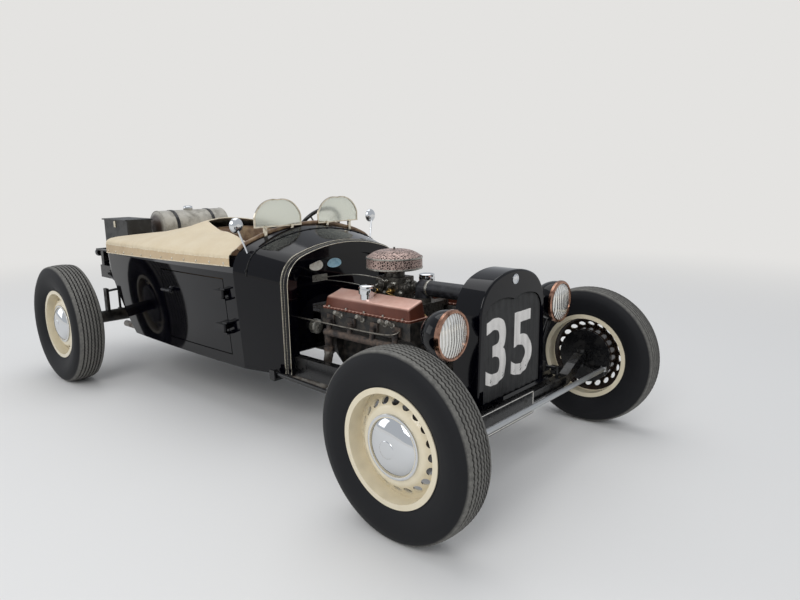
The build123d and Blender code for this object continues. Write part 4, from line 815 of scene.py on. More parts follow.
def cover_height(x, y):
    """The cover's middle surface: arched, slack between its supports and puckered near its seams.

    It swells over the corner of the seat's back and sinks in a hollow beside the open edge.
    """
    crown = crown_height(x)
    z = crown - (crown - cover_edge_z) * (y / cover_arch_half) ** 2 - 0.0042
    half = tub_half(x)
    slack = max(0.0, 1 - (abs(y) / half) ** 2)
    z -= slack * (0.0024 * (1 + sin(9.0 * x + 3.1 * y)) + 0.0011 * sin(23.0 * x - 11.0 * y))
    near_edge = max(0.0, 1 - (half - abs(y)) / pucker_reach)
    z -= 0.0021 * near_edge * (1 + sin(190 * x + 20 * y)) * (0.6 + 0.4 * sin(31 * x))
    for lift, middle_x, reach_x, middle_y, reach_y in swells:
        z += lift * exp(-((x - middle_x) / reach_x) ** 2 - ((y - middle_y) / reach_y) ** 2)
    return z


corner_reach = tub_corner_r + cover_out
rows_x = [tub_side_end_x - corner_reach * sin(pi / 2 * (1 - i / 9)) for i in range(9)]
rows_x += [tub_side_end_x + (cover_seat_x - tub_side_end_x) * i / 40 for i in range(41)]
seat_row = len(rows_x) - 1
rows_x += [cover_seat_x + (cover_front_x - cover_seat_x) * i / 44 for i in range(1, 45)]
right_columns, left_columns = 18, 30
cover_points, cover_uv, cover_rows, in_band = [], [], [], []
for row, x in enumerate(rows_x):
    half = tub_half(x) - edge_round * 0.35
    t = max(0.0, (x - cover_seat_x) / (cover_front_x - cover_seat_x))
    cut = cover_cut_start + (cover_cut_end - cover_cut_start) * t
    across = [-half + (cut + half) * i / right_columns for i in range(right_columns + 1)]
    if row <= seat_row:
        across += [cut + (half - cut) * i / left_columns for i in range(1, left_columns + 1)]
    ids = []
    for y in across:
        drop = edge_round * max(0.0, 1 - (half - abs(y)) / edge_round) ** 2 * 0.4
        ids.append(len(cover_points))
        cover_points.append(Vector((x, y, cover_height(x, y) - drop)))
        cover_uv.append((x, y))
        in_band.append(0.0)
    cover_rows.append(ids)
cover_faces = []
for lower, upper in zip(cover_rows, cover_rows[1:]):
    for j in range(min(len(lower), len(upper)) - 1):
        cover_faces.append((lower[j], upper[j], upper[j + 1], lower[j + 1]))
rim = [ids[0] for ids in reversed(cover_rows)]
rim += cover_rows[0][1:]
rim += [ids[-1] for ids in cover_rows[1:seat_row + 1]]
band_steps = (0.06, 0.12, 0.18, 0.25, 0.31, 0.42, 0.58, 0.74, 0.90, 1.0)
last = rim
for fraction in band_steps:
    ids = []
    for k, i in enumerate(rim):
        top = cover_points[i]
        x, y, z = top
        hand = 1 if y > 0 else -1
        at_tail = x <= rows_x[0] + 0.0001
        out = Vector((0.0, 0.0, 0.0))
        if abs(y) > side_from_y and x < tub_side_end_x:
            from_corner = abs(y) - (tub_tail_half - tub_corner_r)
            away = Vector((x - tub_side_end_x, from_corner, 0)).normalized()
            out = Vector((away.x, hand * away.y, 0))
        elif abs(y) > side_from_y:
            out = Vector((0, hand, 0))
        elif at_tail:
            out = Vector((-1, 0, 0))
        wave = 0.0011 * sin(k * 0.9) * sin(pi * min(1.0, fraction * 1.1))
        wave += 0.0008 * sin(k * 2.3) * (1 - fraction)
        wave += 0.0034 * sin(2 * pi / 3 * k) * exp(-((fraction - seam_fraction) / 0.14) ** 2)
        lift = edge_round * 0.35 * sqrt(min(1.0, fraction / 0.22))
        level = z + (hem_height(x) - z) * fraction
        ids.append(len(cover_points))
        cover_points.append(Vector((x, y, level)) + out * (lift + wave))
        in_band.append(1.0 if fraction > seam_fraction + 0.01 else 0.0)
        depth = z - level
        hangs_aft = at_tail and abs(out.y) < 0.2
        cover_uv.append((x - depth, y) if hangs_aft else (x, y + hand * depth))
    for k in range(len(rim) - 1):
        cover_faces.append((last[k], ids[k], ids[k + 1], last[k + 1]))
    last = ids
    if fraction == seam_fraction:
        seam_line = [cover_points[i].copy() for i in ids]
hem_line = [cover_points[i].copy() for i in last]
canvas_cover = piece_from("canvas_cover", cover_points, cover_faces)
layout = canvas_cover.data.uv_layers.new(name="cloth_metres")
for loop in canvas_cover.data.loops:
    layout.data[loop.index].uv = cover_uv[loop.vertex_index]
band = canvas_cover.data.attributes.new("side_band", "FLOAT", "POINT")
for i, share in enumerate(in_band):
    band.data[i].value = share
face_one_way()
upward = sum(face.normal.z * face.area for face in canvas_cover.data.polygons)
if upward < 0:
    canvas_cover.data.flip_normals()
canvas_wall = canvas_cover.modifiers.new("canvas_wall", "SOLIDIFY")
canvas_wall.thickness = canvas_thick
canvas_wall.offset = 0
bpy.ops.object.modifier_apply(modifier=canvas_wall.name)
canvas_soft = canvas_cover.modifiers.new("canvas_soft", "SUBSURF")
canvas_soft.levels = 1
canvas_soft.render_levels = 1
bpy.ops.object.modifier_apply(modifier=canvas_soft.name)
bpy.ops.object.shade_smooth()

# The duck is woven plain and proofed: matt, sand coloured, darker on the band sewn round the sides.
# Threads are drawn 2 mm apart, coarser than real, so that they show.
duck, tree, surface = new_material(
    "proofed_cotton_duck", "#DECBA9", 0.86, Sheen_Weight=0.2, Sheen_Roughness=0.5
)
where = add_node(tree, "TexCoord").outputs["Object"]
cloth = add_node(tree, "UVMap", {"uv_map": "cloth_metres"})
warp, weft = [
    add_node(
        tree,
        "TexWave",
        {"wave_type": "BANDS", "bands_direction": direction},
        {"Scale": 160.0, "Distortion": 1.2, "Detail": 1.0},
        {"Vector": cloth.outputs["UV"]},
    )
    for direction in ("X", "Y")
]
weave = add_node(
    tree, "Math", {"operation": "ADD"}, links={0: warp.outputs["Fac"], 1: weft.outputs["Fac"]}
)
weathering = add_node(
    tree, "TexNoise", values={"Scale": 7.0, "Detail": 6.0, "Roughness": 0.6},
    links={"Vector": where},
)
side_band = add_node(tree, "Attribute", {"attribute_name": "side_band"})
top_tone = add_node(
    tree, "Mix", {"data_type": "RGBA"}, {6: linear("#E6DAC0"), 7: linear("#CDB893")},
    {"Factor": weathering.outputs["Fac"]},
)
side_tone = add_node(
    tree, "Mix", {"data_type": "RGBA"}, {6: linear("#D5BF9B"), 7: linear("#BFA581")},
    {"Factor": weathering.outputs["Fac"]},
)
tone = add_node(
    tree, "Mix", {"data_type": "RGBA"},
    links={"Factor": side_band.outputs["Fac"], 6: top_tone.outputs[2], 7: side_tone.outputs[2]},
)
threads = add_node(
    tree, "MapRange", values={"From Max": 2.0, "To Min": 0.9, "To Max": 1.04},
    links={"Value": weave.outputs["Value"]},
)
shaded = add_node(
    tree, "VectorMath", {"operation": "SCALE"},
    links={0: tone.outputs[2], "Scale": threads.outputs["Result"]},
)
tree.links.new(shaded.outputs["Vector"], surface.inputs["Base Color"])
cloth_bump = add_node(
    tree, "Bump", values={"Strength": 0.35, "Distance": 0.0006},
    links={"Height": weave.outputs["Value"]},
)
tree.links.new(cloth_bump.outputs["Normal"], surface.inputs["Normal"])

# Binding and seam: a paler cotton tape folded over the hem and along the free edge, and the felled
# seam where the side band meets the top, sewn with cream thread.
tape_cotton = weathered(
    "cotton_binding_tape", "#D9CBB0", 0.85, 0.0,
    ("#E2D6BE", "#BFAE8D", 30, 0.5), (2.0, 0.5, 0.5), Sheen_Weight=0.2,
)
binding = bent_wire("cover_binding", [p + Vector((0, 0, 0.0035)) for p in hem_line], 0.0030)
front_row = cover_rows[-1]
free_edge = [cover_points[i] for i in front_row]
free_edge += [cover_points[ids[-1]] for ids in reversed(cover_rows[seat_row + 1:])]
free_edge += [cover_points[i] for i in cover_rows[seat_row][right_columns:]]
free_binding = bent_wire("cover_free_binding", free_edge, 0.0034)
seam = bent_wire("cover_seam", [p + Vector((0, 0, -0.0012)) for p in seam_line], 0.0021)
for piece in (binding, free_binding, seam):
    dress(piece, tape_cotton, "car")

# Snaps: caps pressed from brass and nickel plated, riveted through the band a hand's breadth apart.
# Each springs over a stud screwed into the tub.
snap_above_hem, snap_pitch = 0.016, 0.128
snap_line = [p + Vector((0, 0, snap_above_hem)) for p in hem_line]
moves = []
for place, along in even_places(snap_line, snap_pitch, 0.05):
    out = along.cross(Vector((0, 0, 1))).normalized()
    if out.dot(place - Vector((-0.6, 0, place.z))) < 0:
        out = -out
    moves.append(aimed(place, out, "Z", "Y"))
snap = turn_on_lathe(
    "cover_snap",
    ((-0.001, 0.0002), (-0.001, 0.0078), (0.0018, 0.0076), (0.0036, 0.0052), (0.0042, 0.0002)),
    (0, 0, 0), (0, 0, 1), 12,
)
snaps = repeat_piece("cover_snaps", snap, moves)
dress(snaps, nickel, "car")

dress(canvas_cover, duck, "car")
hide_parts("tonneau_cover")

# Seats: a sprung squab and a back with an arched top, covered in brown hide over horsehair. Both are
# sewn in channels; the squab is pulled in at its sides and piped along its front edge.
channel_pitch = 0.074
channel_depth = 0.009
channel_half = 0.024
squab_waist = 0.006
back_arch = 0.060
pad_cuts = 56


def add_box(name, centre, size):
    """A cube stretched to a size about its centre."""
    bpy.ops.mesh.primitive_cube_add(size=1, location=centre, scale=size)
    return settle(name)


def stuffed(name, low, high, corner, facing, crown, lean=0.0):
    """A sewn pad: a box cut fine, rounded at its edges, crowned and channelled on one face."""
    low, high = Vector(low), Vector(high)
    pad = add_box(name, (low + high) / 2, high - low)
    bpy.ops.object.mode_set(mode="EDIT")
    bpy.ops.mesh.select_all(action="SELECT")
    bpy.ops.mesh.subdivide(number_cuts=pad_cuts)
    bpy.ops.object.mode_set(mode="OBJECT")
    inner_low = low + Vector((corner, corner, corner))
    inner_high = high - Vector((corner, corner, corner))
    middle, half = (low + high) / 2, (high - low) / 2
    for vertex in pad.data.vertices:
        p = vertex.co
        core = Vector([min(max(p[k], inner_low[k]), inner_high[k]) for k in range(3)])
        away = p - core
        if away.length > corner:
            p = core + away.normalized() * corner
        u, v, w = [(p[k] - middle[k]) / half[k] for k in range(3)]
        groove = abs((p.y / channel_pitch + 100.5) % 1.0 - 0.5) * channel_pitch
        swell = crown - channel_depth * (1 - min(1.0, groove / channel_half)) ** 2
        if facing == "up":
            soft = max(0.0, 1 - u ** 6) * max(0.0, 1 - v ** 8) * max(0.0, w)
            pulled_in = squab_waist * ((v < 0) - (v > 0)) * (1 - w * w) * (1 - u * u)
            p = p + Vector((0, pulled_in, soft * swell))
        else:
            soft = max(0.0, 1 - w ** 6) * max(0.0, 1 - v ** 8) * max(0.0, u)
            arch = back_arch * v * v * max(0.0, w)
            p = p + Vector((soft * swell + lean * (1 - w) / 2, 0, -arch))
        vertex.co = p
    bpy.ops.object.shade_smooth()
    return pad


squab = stuffed(
    "seat_squab", (-0.500, -0.438, 0.5805), (-0.080, 0.438, 0.688), 0.030, "up", 0.012
)
seat_back = stuffed(
    "seat_backrest", (-0.655, -0.428, 0.5805), (-0.580, 0.428, 0.992), 0.028, "front", 0.012, 0.055
)
for piece in (squab, seat_back):
    dress(piece, hide, "car")
    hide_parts("seat_cushions")
front_edge = [Vector((-0.086, -0.405 + 0.81 * i / 30, 0.668)) for i in range(31)]
piping = bent_wire("squab_piping", front_edge, 0.0036)
dress(piping, hide, "car")

# Seat frame: a plywood box, glued and pinned at its corners and faced with black trimming cloth. It
# is screwed to the floor and carries the cushions.
trim_cloth = weathered(
    "black_trimming_cloth", "#1A1918", 0.8, 0.0, ("#161514", "#2E2B27", 50, 0.5), (2.2, 0.6, 0.5)
)
finish_nodes(trim_cloth, "seat_base")

# Steering wheel: a steel rim moulded in black hard rubber on sprung spokes and a nickelled hub. The
# rubber is everything beyond the spokes' ends, told by its distance from the wheel's centre.
steering_centre = (-0.046, 0.250, 0.980)
rubber_from = 0.139
wheel_finish, tree, surface = new_material("hard_rubber_and_nickel", "#1B1A18", 0.25)
where = add_node(tree, "TexCoord").outputs["Object"]
hub = add_node(
    tree, "Mapping", values={"Location": [-v for v in steering_centre]}, links={"Vector": where}
)
reach = add_node(
    tree, "VectorMath", {"operation": "LENGTH"}, links={"Vector": hub.outputs["Vector"]}
)
is_rubber = add_node(
    tree, "Math", {"operation": "GREATER_THAN"}, {1: rubber_from}, {0: reach.outputs["Value"]}
)
polish = add_node(tree, "TexNoise", values={"Scale": 40.0, "Detail": 4.0}, links={"Vector": where})
metal_tone = add_node(
    tree, "Mix", {"data_type": "RGBA"}, {6: linear("#D8D5CE"), 7: linear("#A9A69D")},
    {"Factor": polish.outputs["Fac"]},
)
rubber_tone = add_node(
    tree, "Mix", {"data_type": "RGBA"}, {6: linear("#141312"), 7: linear("#2C2925")},
    {"Factor": polish.outputs["Fac"]},
)
tone = add_node(
    tree, "Mix", {"data_type": "RGBA"},
    links={"Factor": is_rubber.outputs["Value"], 6: metal_tone.outputs[2], 7: rubber_tone.outputs[2]},
)
tree.links.new(tone.outputs[2], surface.inputs["Base Color"])
metal_share = add_node(
    tree, "MapRange", values={"To Min": 1.0, "To Max": 0.0},
    links={"Value": is_rubber.outputs["Value"]},
)
tree.links.new(metal_share.outputs["Result"], surface.inputs["Metallic"])
finish_nodes(wheel_finish, "steering_wheel")

# Levers, screen frames and mirrors: brass rod and channel bent to shape, nickel plated and gone warm
# with age. The mirrors' cases are chromium plated like the hub caps.
finish_nodes(nickel, "controls", "screen_frames")
finish_nodes(chrome, "mirrors")

# Aero screens: perspex bent warm and slid into the nickelled channel, now yellowed and scratched
# finely by wiping. Two turned clips hold each one to the cowl.
perspex, tree, surface = new_material(
    "aged_perspex", "#F4F6EA", 0.12, Transmission_Weight=0.75, IOR=1.49
)
where = add_node(tree, "TexCoord").outputs["Object"]
wiped = add_node(tree, "TexNoise", values={"Scale": 9.0, "Detail": 3.0}, links={"Vector": where})
haze = add_node(
    tree, "MapRange", values={"To Min": 0.14, "To Max": 0.26}, links={"Value": wiped.outputs["Fac"]}
)
tree.links.new(haze.outputs["Result"], surface.inputs["Roughness"])
finish_nodes(perspex, "screen_glass")
screen_y, clip_out = 0.216, 0.088
for hand, side in hands:
    clip = turn_on_lathe(
        "screen_clip_" + hand,
        ((-0.010, 0.0002), (-0.010, 0.0085), (0.0, 0.0100), (0.010, 0.0085), (0.010, 0.0002)),
        (0.177, side * (screen_y - clip_out), 1.036), (1, 0, 0), 14,
    )
    across = Matrix.Translation((0, side * 2 * clip_out, 0))
    far_clip = copy_of(clip, "screen_clip_far_" + hand, across)
    for piece in (clip, far_clip):
        dress(piece, nickel, "car")

# Mirror rims: a half-round brass bead rolled over each glass to hold it in its case, chromium plated.
# They catch the light as two small rings at the cowl's sides.
mirror_x, mirror_y, mirror_z, mirror_r = 0.1800, 0.482, 1.057, 0.0375
turns = [2 * pi * i / 40 for i in range(40)]
for hand, side in hands:
    ring = [
        Vector((mirror_x, side * mirror_y + mirror_r * cos(a), mirror_z + mirror_r * sin(a)))
        for a in turns
    ]
    bead = bent_wire("mirror_bead_" + hand, ring, 0.0026, closed=True)
    dress(bead, chrome, "car")

# Radiator: a core of brass tubes and thin fins, soldered up and dipped in black, behind upright steel
# bars riveted into the shell's opening. The fins are drawn 6 mm apart, coarser than real.
core_black, tree, surface = new_material("dipped_black_core", "#0B0B0C", 0.6, 0.2)
where = add_node(tree, "TexCoord").outputs["Object"]
fins = add_node(
    tree,
    "TexWave",
    {"wave_type": "BANDS", "bands_direction": "Z"},
    {"Scale": 55.0, "Distortion": 0.4},
    {"Vector": where},
)
fin_bump = add_node(
    tree, "Bump", values={"Strength": 0.8, "Distance": 0.003}, links={"Height": fins.outputs["Fac"]}
)
tree.links.new(fin_bump.outputs["Normal"], surface.inputs["Normal"])
finish_nodes(core_black, "radiator_core")
finish_nodes(chassis_enamel, "grille")

# Blind: a piece of open-woven black cloth stretched over the bars inside the opening, hanging in
# soft upright folds, with a plain number painted on it in white. The weave is drawn 4 mm coarse.
blind_half, blind_foot, blind_x = 0.2285, 0.3460, 1.5150
opening_corner, opening_crown, opening_gap = (0.150, 0.774), (0.075, 0.781), 0.002


def arc_height(y, start, middle, end):
    """The height at y of the circle through three points given as (y, z)."""
    (y1, z1), (y2, z2), (y3, z3) = start, middle, end
    d = 2 * (y1 * (z2 - z3) + y2 * (z3 - z1) + y3 * (z1 - z2))
    s1, s2, s3 = y1 ** 2 + z1 ** 2, y2 ** 2 + z2 ** 2, y3 ** 2 + z3 ** 2
    cy = (s1 * (z2 - z3) + s2 * (z3 - z1) + s3 * (z1 - z2)) / d
    cz = (s1 * (y3 - y2) + s2 * (y1 - y3) + s3 * (y2 - y1)) / d
    r = hypot(y1 - cy, z1 - cz)
    return cz + (1 if z2 > cz else -1) * sqrt(max(0.0, r ** 2 - (y - cy) ** 2))


def opening_top(y):
    """The top of the shell's opening at y."""
    y = abs(y)
    if y < opening_corner[0]:
        return arc_height(y, opening_corner, opening_crown, (0.0, 0.766)) - opening_gap
    return arc_height(y, (0.231, 0.690), (0.206, 0.748), opening_corner) - opening_gap


def blind_front(y, z):
    """How far forward the cloth lies at y and z: soft folds, deeper towards its foot."""
    slack = min(1.0, max(0.0, (0.80 - z) / 0.40))
    fold = sin(2 * pi * y / 0.047 + 1.3 * sin(9 * z)) + 0.5 * sin(2 * pi * y / 0.083 + 2.0)
    return blind_x + 0.0019 * (0.35 + slack) * fold * min(1.0, (blind_half - abs(y)) / 0.02)


blind_columns, blind_rows = 96, 60
blind_points, blind_faces = [], []
for i in range(blind_columns + 1):
    y = -blind_half + 2 * blind_half * i / blind_columns
    top = opening_top(y)
    for j in range(blind_rows + 1):
        z = blind_foot + (top - blind_foot) * j / blind_rows
        blind_points.append((blind_front(y, z), y, z))
        if i and j:
            a = (i - 1) * (blind_rows + 1) + j - 1
            blind_faces.append((a, a + blind_rows + 1, a + blind_rows + 2, a + 1))
blind = piece_from("radiator_blind", blind_points, blind_faces)
cloth_wall = blind.modifiers.new("cloth_wall", "SOLIDIFY")
cloth_wall.thickness = 0.0008
cloth_wall.offset = -1
bpy.ops.object.modifier_apply(modifier=cloth_wall.name)
bpy.ops.object.shade_smooth()


def open_weave(name, thread, gap, roughness):
    """Cloth woven open enough that the dark between its threads shows."""
    material, tree, surface = new_material(name, thread, roughness)
    where = add_node(tree, "TexCoord").outputs["Object"]
    squares = add_node(
        tree, "TexVoronoi", {"distance": "CHEBYCHEV"}, {"Scale": 250.0, "Randomness": 0.18},
        {"Vector": where},
    )
    mottle = add_node(
        tree, "TexNoise", values={"Scale": 18.0, "Detail": 5.0}, links={"Vector": where}
    )
    holes = add_node(
        tree, "MapRange", values={"From Min": 0.15, "From Max": 0.45},
        links={"Value": squares.outputs["Distance"]},
    )
    uneven = add_node(
        tree, "Math", {"operation": "MULTIPLY"},
        links={0: holes.outputs["Result"], 1: mottle.outputs["Fac"]},
    )
    tone = add_node(
        tree, "Mix", {"data_type": "RGBA"}, {6: linear(thread), 7: linear(gap)},
        {"Factor": uneven.outputs["Value"]},
    )
    tree.links.new(tone.outputs[2], surface.inputs["Base Color"])
    bump = add_node(
        tree, "Bump", values={"Strength": 0.5, "Distance": 0.0008},
        links={"Height": squares.outputs["Distance"]},
    )
    tree.links.new(bump.outputs["Normal"], surface.inputs["Normal"])
    return material


blind_cloth = open_weave("open_woven_black_cloth", "#3D3D3D", "#0A0A0A", 0.8)
dress(blind, blind_cloth, "car")

number_paint = open_weave("white_paint_on_cloth", "#ECE9E5", "#C4C1BD", 0.7)
bpy.ops.object.text_add(location=(0, 0, 0))
number = bpy.context.object
number.data.body = "35"
number.data.size = 0.42
number.data.offset = 0.007
number.data.resolution_u = 10
bpy.ops.object.convert(target="MESH")
number = bpy.context.object
number.rotation_euler = (pi / 2, 0, pi / 2)
settle("painted_number")
number_low, number_high, paint_thick = (-0.206, 0.412), (0.158, 0.704), 0.0007
low = [min(v.co[k] for v in number.data.vertices) for k in (1, 2)]
high = [max(v.co[k] for v in number.data.vertices) for k in (1, 2)]
for vertex in number.data.vertices:
    for k in (0, 1):
        share = (vertex.co[k + 1] - low[k]) / (high[k] - low[k])
        vertex.co[k + 1] = number_low[k] + (number_high[k] - number_low[k]) * share
bpy.ops.object.mode_set(mode="EDIT")
bpy.ops.mesh.select_mode(type="FACE")
bpy.ops.mesh.select_all(action="SELECT")
bpy.ops.mesh.quads_convert_to_tris()
bpy.ops.mesh.subdivide(number_cuts=9)
bpy.ops.object.mode_set(mode="OBJECT")
for vertex in number.data.vertices:
    vertex.co.x = blind_front(vertex.co.y, vertex.co.z) + paint_thick
bpy.ops.object.shade_smooth()
dress(number, number_paint, "car")

# Shell badge: a bare disc pressed from brass with a raised rim, chromium plated. It is pinned at the
# crown of the shell.
badge = turn_on_lathe(
    "shell_badge",
    ((-0.002, 0.0002), (-0.002, 0.0228), (0.0030, 0.0225), (0.0042, 0.0212), (0.0034, 0.0192),
     (0.0018, 0.0182), (0.0030, 0.0120), (0.0036, 0.0060), (0.0037, 0.0002)),
    (1.5220, 0.0, 0.852), (1, 0, 0), 40,
)
dress(badge, chrome, "car")

# Headlamps: spun bowls in black enamel with copper-plated rims, and moulded lenses with upright
# flutes. The silvered bowl seen through the flutes is painted on the glass as a painted reflection
# of silver streaks. They are drawn 16 mm apart, wider than real, so that they show.
finish_nodes(cellulose, "headlamps")
rim_copper = weathered(
    "copper_plated_steel", "#A07A68", 0.24, 1.0, ("#AE8672", "#64453A", 30, 0.55, (0.14, 0.42))
)
finish_nodes(rim_copper, "lamp_rims")
fluted, tree, surface = new_material(
    "fluted_lens_glass", "#E8E8E4", 0.08, 0.8, Coat_Weight=1.0, Coat_Roughness=0.04
)
where = add_node(tree, "TexCoord").outputs["Object"]
flutes = add_node(
    tree,
    "TexWave",
    {"wave_type": "BANDS", "bands_direction": "Y"},
    {"Scale": 20.0, "Distortion": 4.5, "Detail": 2.0, "Detail Scale": 0.5},
    {"Vector": where},
)
# Painted reflection: pale and grey bands stand for the silvered bowl seen through the flutes.
painted_reflection_streaks = add_node(
    tree, "Mix", {"data_type": "RGBA"}, {6: linear("#C6C3BB"), 7: linear("#FBFAF6")},
    {"Factor": flutes.outputs["Fac"]},
)
tree.links.new(painted_reflection_streaks.outputs[2], surface.inputs["Base Color"])
flute_bump = add_node(
    tree, "Bump", values={"Strength": 0.6, "Distance": 0.004},
    links={"Height": flutes.outputs["Fac"]},
)
tree.links.new(flute_bump.outputs["Normal"], surface.inputs["Normal"])
finish_nodes(fluted, "lamp_lenses")

# Plate: pressed aluminium, black, bare but for a raised white border, bolted to two straps from the
# axle beam behind the tie rod.
plate_x, plate_y, plate_z = 1.600, -0.212, 0.309
plate_thick, plate_wide, plate_tall = 0.0024, 0.512, 0.106
plate_black = weathered(
    "stove_black_aluminium", "#101012", 0.35, 0.0, ("#0E0E10", "#26241F", 40, 0.4, (0.25, 0.55))
)
border_white = weathered(
    "white_border_paint", "#E4E1DA", 0.45, 0.0, ("#E8E5DE", "#B9B2A5", 30, 0.4)
)
plate = add_box("bare_plate", (plate_x, plate_y, plate_z), (plate_thick, plate_wide, plate_tall))
plate.data.materials.append(plate_black)
plate.data.materials.append(border_white)


def choose(piece, test, kind="FACE"):
    """In edit mode, the piece's faces or edges whose middle and direction pass a test."""
    bpy.ops.object.mode_set(mode="EDIT")
    bpy.ops.mesh.select_mode(type=kind)
    bpy.ops.mesh.select_all(action="DESELECT")
    bpy.ops.object.mode_set(mode="OBJECT")
    mesh = piece.data
    if kind == "FACE":
        for face in mesh.polygons:
            face.select = test(face.center, face.normal)
    else:
        for edge in mesh.edges:
            a, b = (mesh.vertices[i].co for i in edge.vertices)
            edge.select = test((a + b) / 2, (b - a).normalized())
    bpy.ops.object.mode_set(mode="EDIT")


def soften(piece, test, offset, segments):
    """Bevel those edges of a piece that pass a test."""
    choose(piece, test, "EDGE")
    bpy.ops.mesh.bevel(offset=offset, segments=segments, affect="EDGES")
    bpy.ops.object.mode_set(mode="OBJECT")


soften(plate, lambda middle, way: abs(way.x) > 0.9, 0.010, 4)
choose(plate, lambda middle, normal: normal.x > 0.9)
bpy.ops.mesh.inset(thickness=0.0035)
bpy.ops.mesh.inset(thickness=0.0042)
bpy.ops.object.mode_set(mode="OBJECT")
front_faces = [face for face in plate.data.polygons if face.normal.x > 0.9]
widest = max(front_faces, key=lambda face: face.area)
inner = set(widest.vertices)
for face in front_faces:
    if face is not widest and inner & set(face.vertices):
        face.material_index = 1
plate_middle = Vector((plate_x + plate_thick / 2, plate_y, plate_z))
choose(plate, lambda middle, normal: normal.x > 0.9 and (middle - plate_middle).length < 0.001)
bpy.ops.transform.translate(value=(-0.0006, 0, 0))
bpy.ops.object.mode_set(mode="OBJECT")
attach(plate, "car")
for name, y in (("plate_strap_right", -0.380), ("plate_strap_left", -0.044)):
    strap = add_box(name, (1.5715, y, 0.290), (0.057, 0.025, 0.004))
    soften(strap, lambda middle, way: abs(way.y) > 0.9, 0.0012, 2)
    dress(strap, chassis_enamel, "car")

# Engine: cast iron block, heads and gearbox, bolted together, in oily grey-black with rust brown in
# the recesses. The manifolds have burnt browner, the pipes are bare tube and the intake is cast alloy.
iron = weathered(
    "oily_cast_iron", "#232322", 0.55, 0.25,
    ("#1B1B1B", "#4A443D", 28, 0.6, (0.35, 0.75)), (2.5, 0.6, 0.5, 4.0),
)
finish_nodes(iron, "engine_block", "engine_front")
manifold_iron = weathered(
    "heat_browned_iron", "#3B3532", 0.65, 0.35,
    ("#2E2A29", "#6A5B50", 35, 0.6, (0.5, 0.8)), (2.5, 0.6, 0.5, 4.0),
)
finish_nodes(manifold_iron, "exhaust_manifolds")
pipe_steel = weathered(
    "mild_steel_tube", "#7A756E", 0.45, 0.8, ("#77736D", "#4C3B30", 60, 0.6, (0.32, 0.65))
)
finish_nodes(pipe_steel, "exhaust_pipes")
alloy = weathered(
    "cast_aluminium", "#4B4945", 0.5, 0.7,
    ("#6A6761", "#2B2825", 18, 0.65, (0.35, 0.7)), (2.0, 0.5, 0.5, 4.0),
)
finish_nodes(alloy, "intake")

# Rocker covers: pressed steel in copper lacquer, screwed down through a flange whose edge is crimped
# in small scallops. The light is painted by facing: a pale, milky painted highlight on top and deeper
# painted shade on the sides.
copper_lacquer, tree, surface = new_material("copper_lacquer", "#B5705A", 0.3, 0.35)
where = add_node(tree, "TexCoord").outputs["Object"]
cloud = add_node(
    tree, "TexNoise", values={"Scale": 16.0, "Detail": 6.0, "Roughness": 0.6},
    links={"Vector": where},
)
facing = add_node(tree, "SeparateXYZ", links={"Vector": where.node.outputs["Normal"]})
# Painted light: faces turned up take the pale highlight tone, faces turned aside the shaded tone.
painted_top_light = add_node(
    tree, "MapRange", values={"From Min": 0.35, "From Max": 0.9},
    links={"Value": facing.outputs["Z"]},
)
side_tone = add_node(
    tree, "Mix", {"data_type": "RGBA"}, {6: linear("#74402F"), 7: linear("#4A2A22")},
    {"Factor": cloud.outputs["Fac"]},
)
top_tone = add_node(
    tree, "Mix", {"data_type": "RGBA"}, {6: linear("#E8C6B8"), 7: linear("#B9816D")},
    {"Factor": cloud.outputs["Fac"]},
)
tone = add_node(
    tree, "Mix", {"data_type": "RGBA"},
    links={"Factor": painted_top_light.outputs["Result"], 6: side_tone.outputs[2], 7: top_tone.outputs[2]},
)
tree.links.new(tone.outputs[2], surface.inputs["Base Color"])
grained(tree, surface, where, 8, 0.3, 0.15)
rocker_x, rocker_y, rocker_top_z = 0.882, 0.222, 0.7435
rocker_long, rocker_wide, outer_fall = 0.560, 0.114, 0.030
top_share = (0.962, 0.900, 1.0)
flange_z, flange_middle_z = 0.6643, 0.6598
flange_size = (0.580, 0.132, 0.0088)
for hand, side in hands:
    y = side * rocker_y
    rocker_cover = add_box(
        "rocker_cover_" + hand, (rocker_x, y, (rocker_top_z + flange_z) / 2 - 0.001),
        (rocker_long, rocker_wide, rocker_top_z - flange_z + 0.002),
    )
    choose(rocker_cover, lambda middle, normal: normal.z > 0.9)
    bpy.ops.transform.resize(value=top_share, center_override=(rocker_x, y, rocker_top_z))
    bpy.ops.object.mode_set(mode="OBJECT")
    for vertex in rocker_cover.data.vertices:
        if vertex.co.z > rocker_top_z - 0.001 and side * vertex.co.y > rocker_y:
            vertex.co.z -= outer_fall
    soften(rocker_cover, lambda middle, way: middle.z > flange_z, 0.011, 5)
    bpy.ops.object.shade_smooth_by_angle(angle=radians(40))
    flange = add_box("cover_flange_" + hand, (rocker_x, y, flange_middle_z), flange_size)
    soften(flange, lambda middle, way: abs(way.z) > 0.9, 0.012, 4)
    for piece in (rocker_cover, flange):
        dress(piece, copper_lacquer, "car")
    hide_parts("valve_covers")
scallop_row, scallop_run, scallop_count = 0.064, 0.540, 22
moves = [
    Matrix.Translation((rocker_x + scallop_run * (i / (scallop_count - 1) - 0.5), y, flange_middle_z))
    for y in [side * rocker_y + row for side in (-1, 1) for row in (-scallop_row, scallop_row)]
    for i in range(scallop_count)
]
bpy.ops.mesh.primitive_cylinder_add(vertices=12, radius=0.0075, depth=0.0100)
scallop = settle("flange_scallop")
soften(scallop, lambda middle, way: abs(abs(middle.z) - 0.005) < 0.0004, 0.0016, 1)
scallops = repeat_piece("flange_scallops", scallop, moves)
dress(scallops, copper_lacquer, "car")

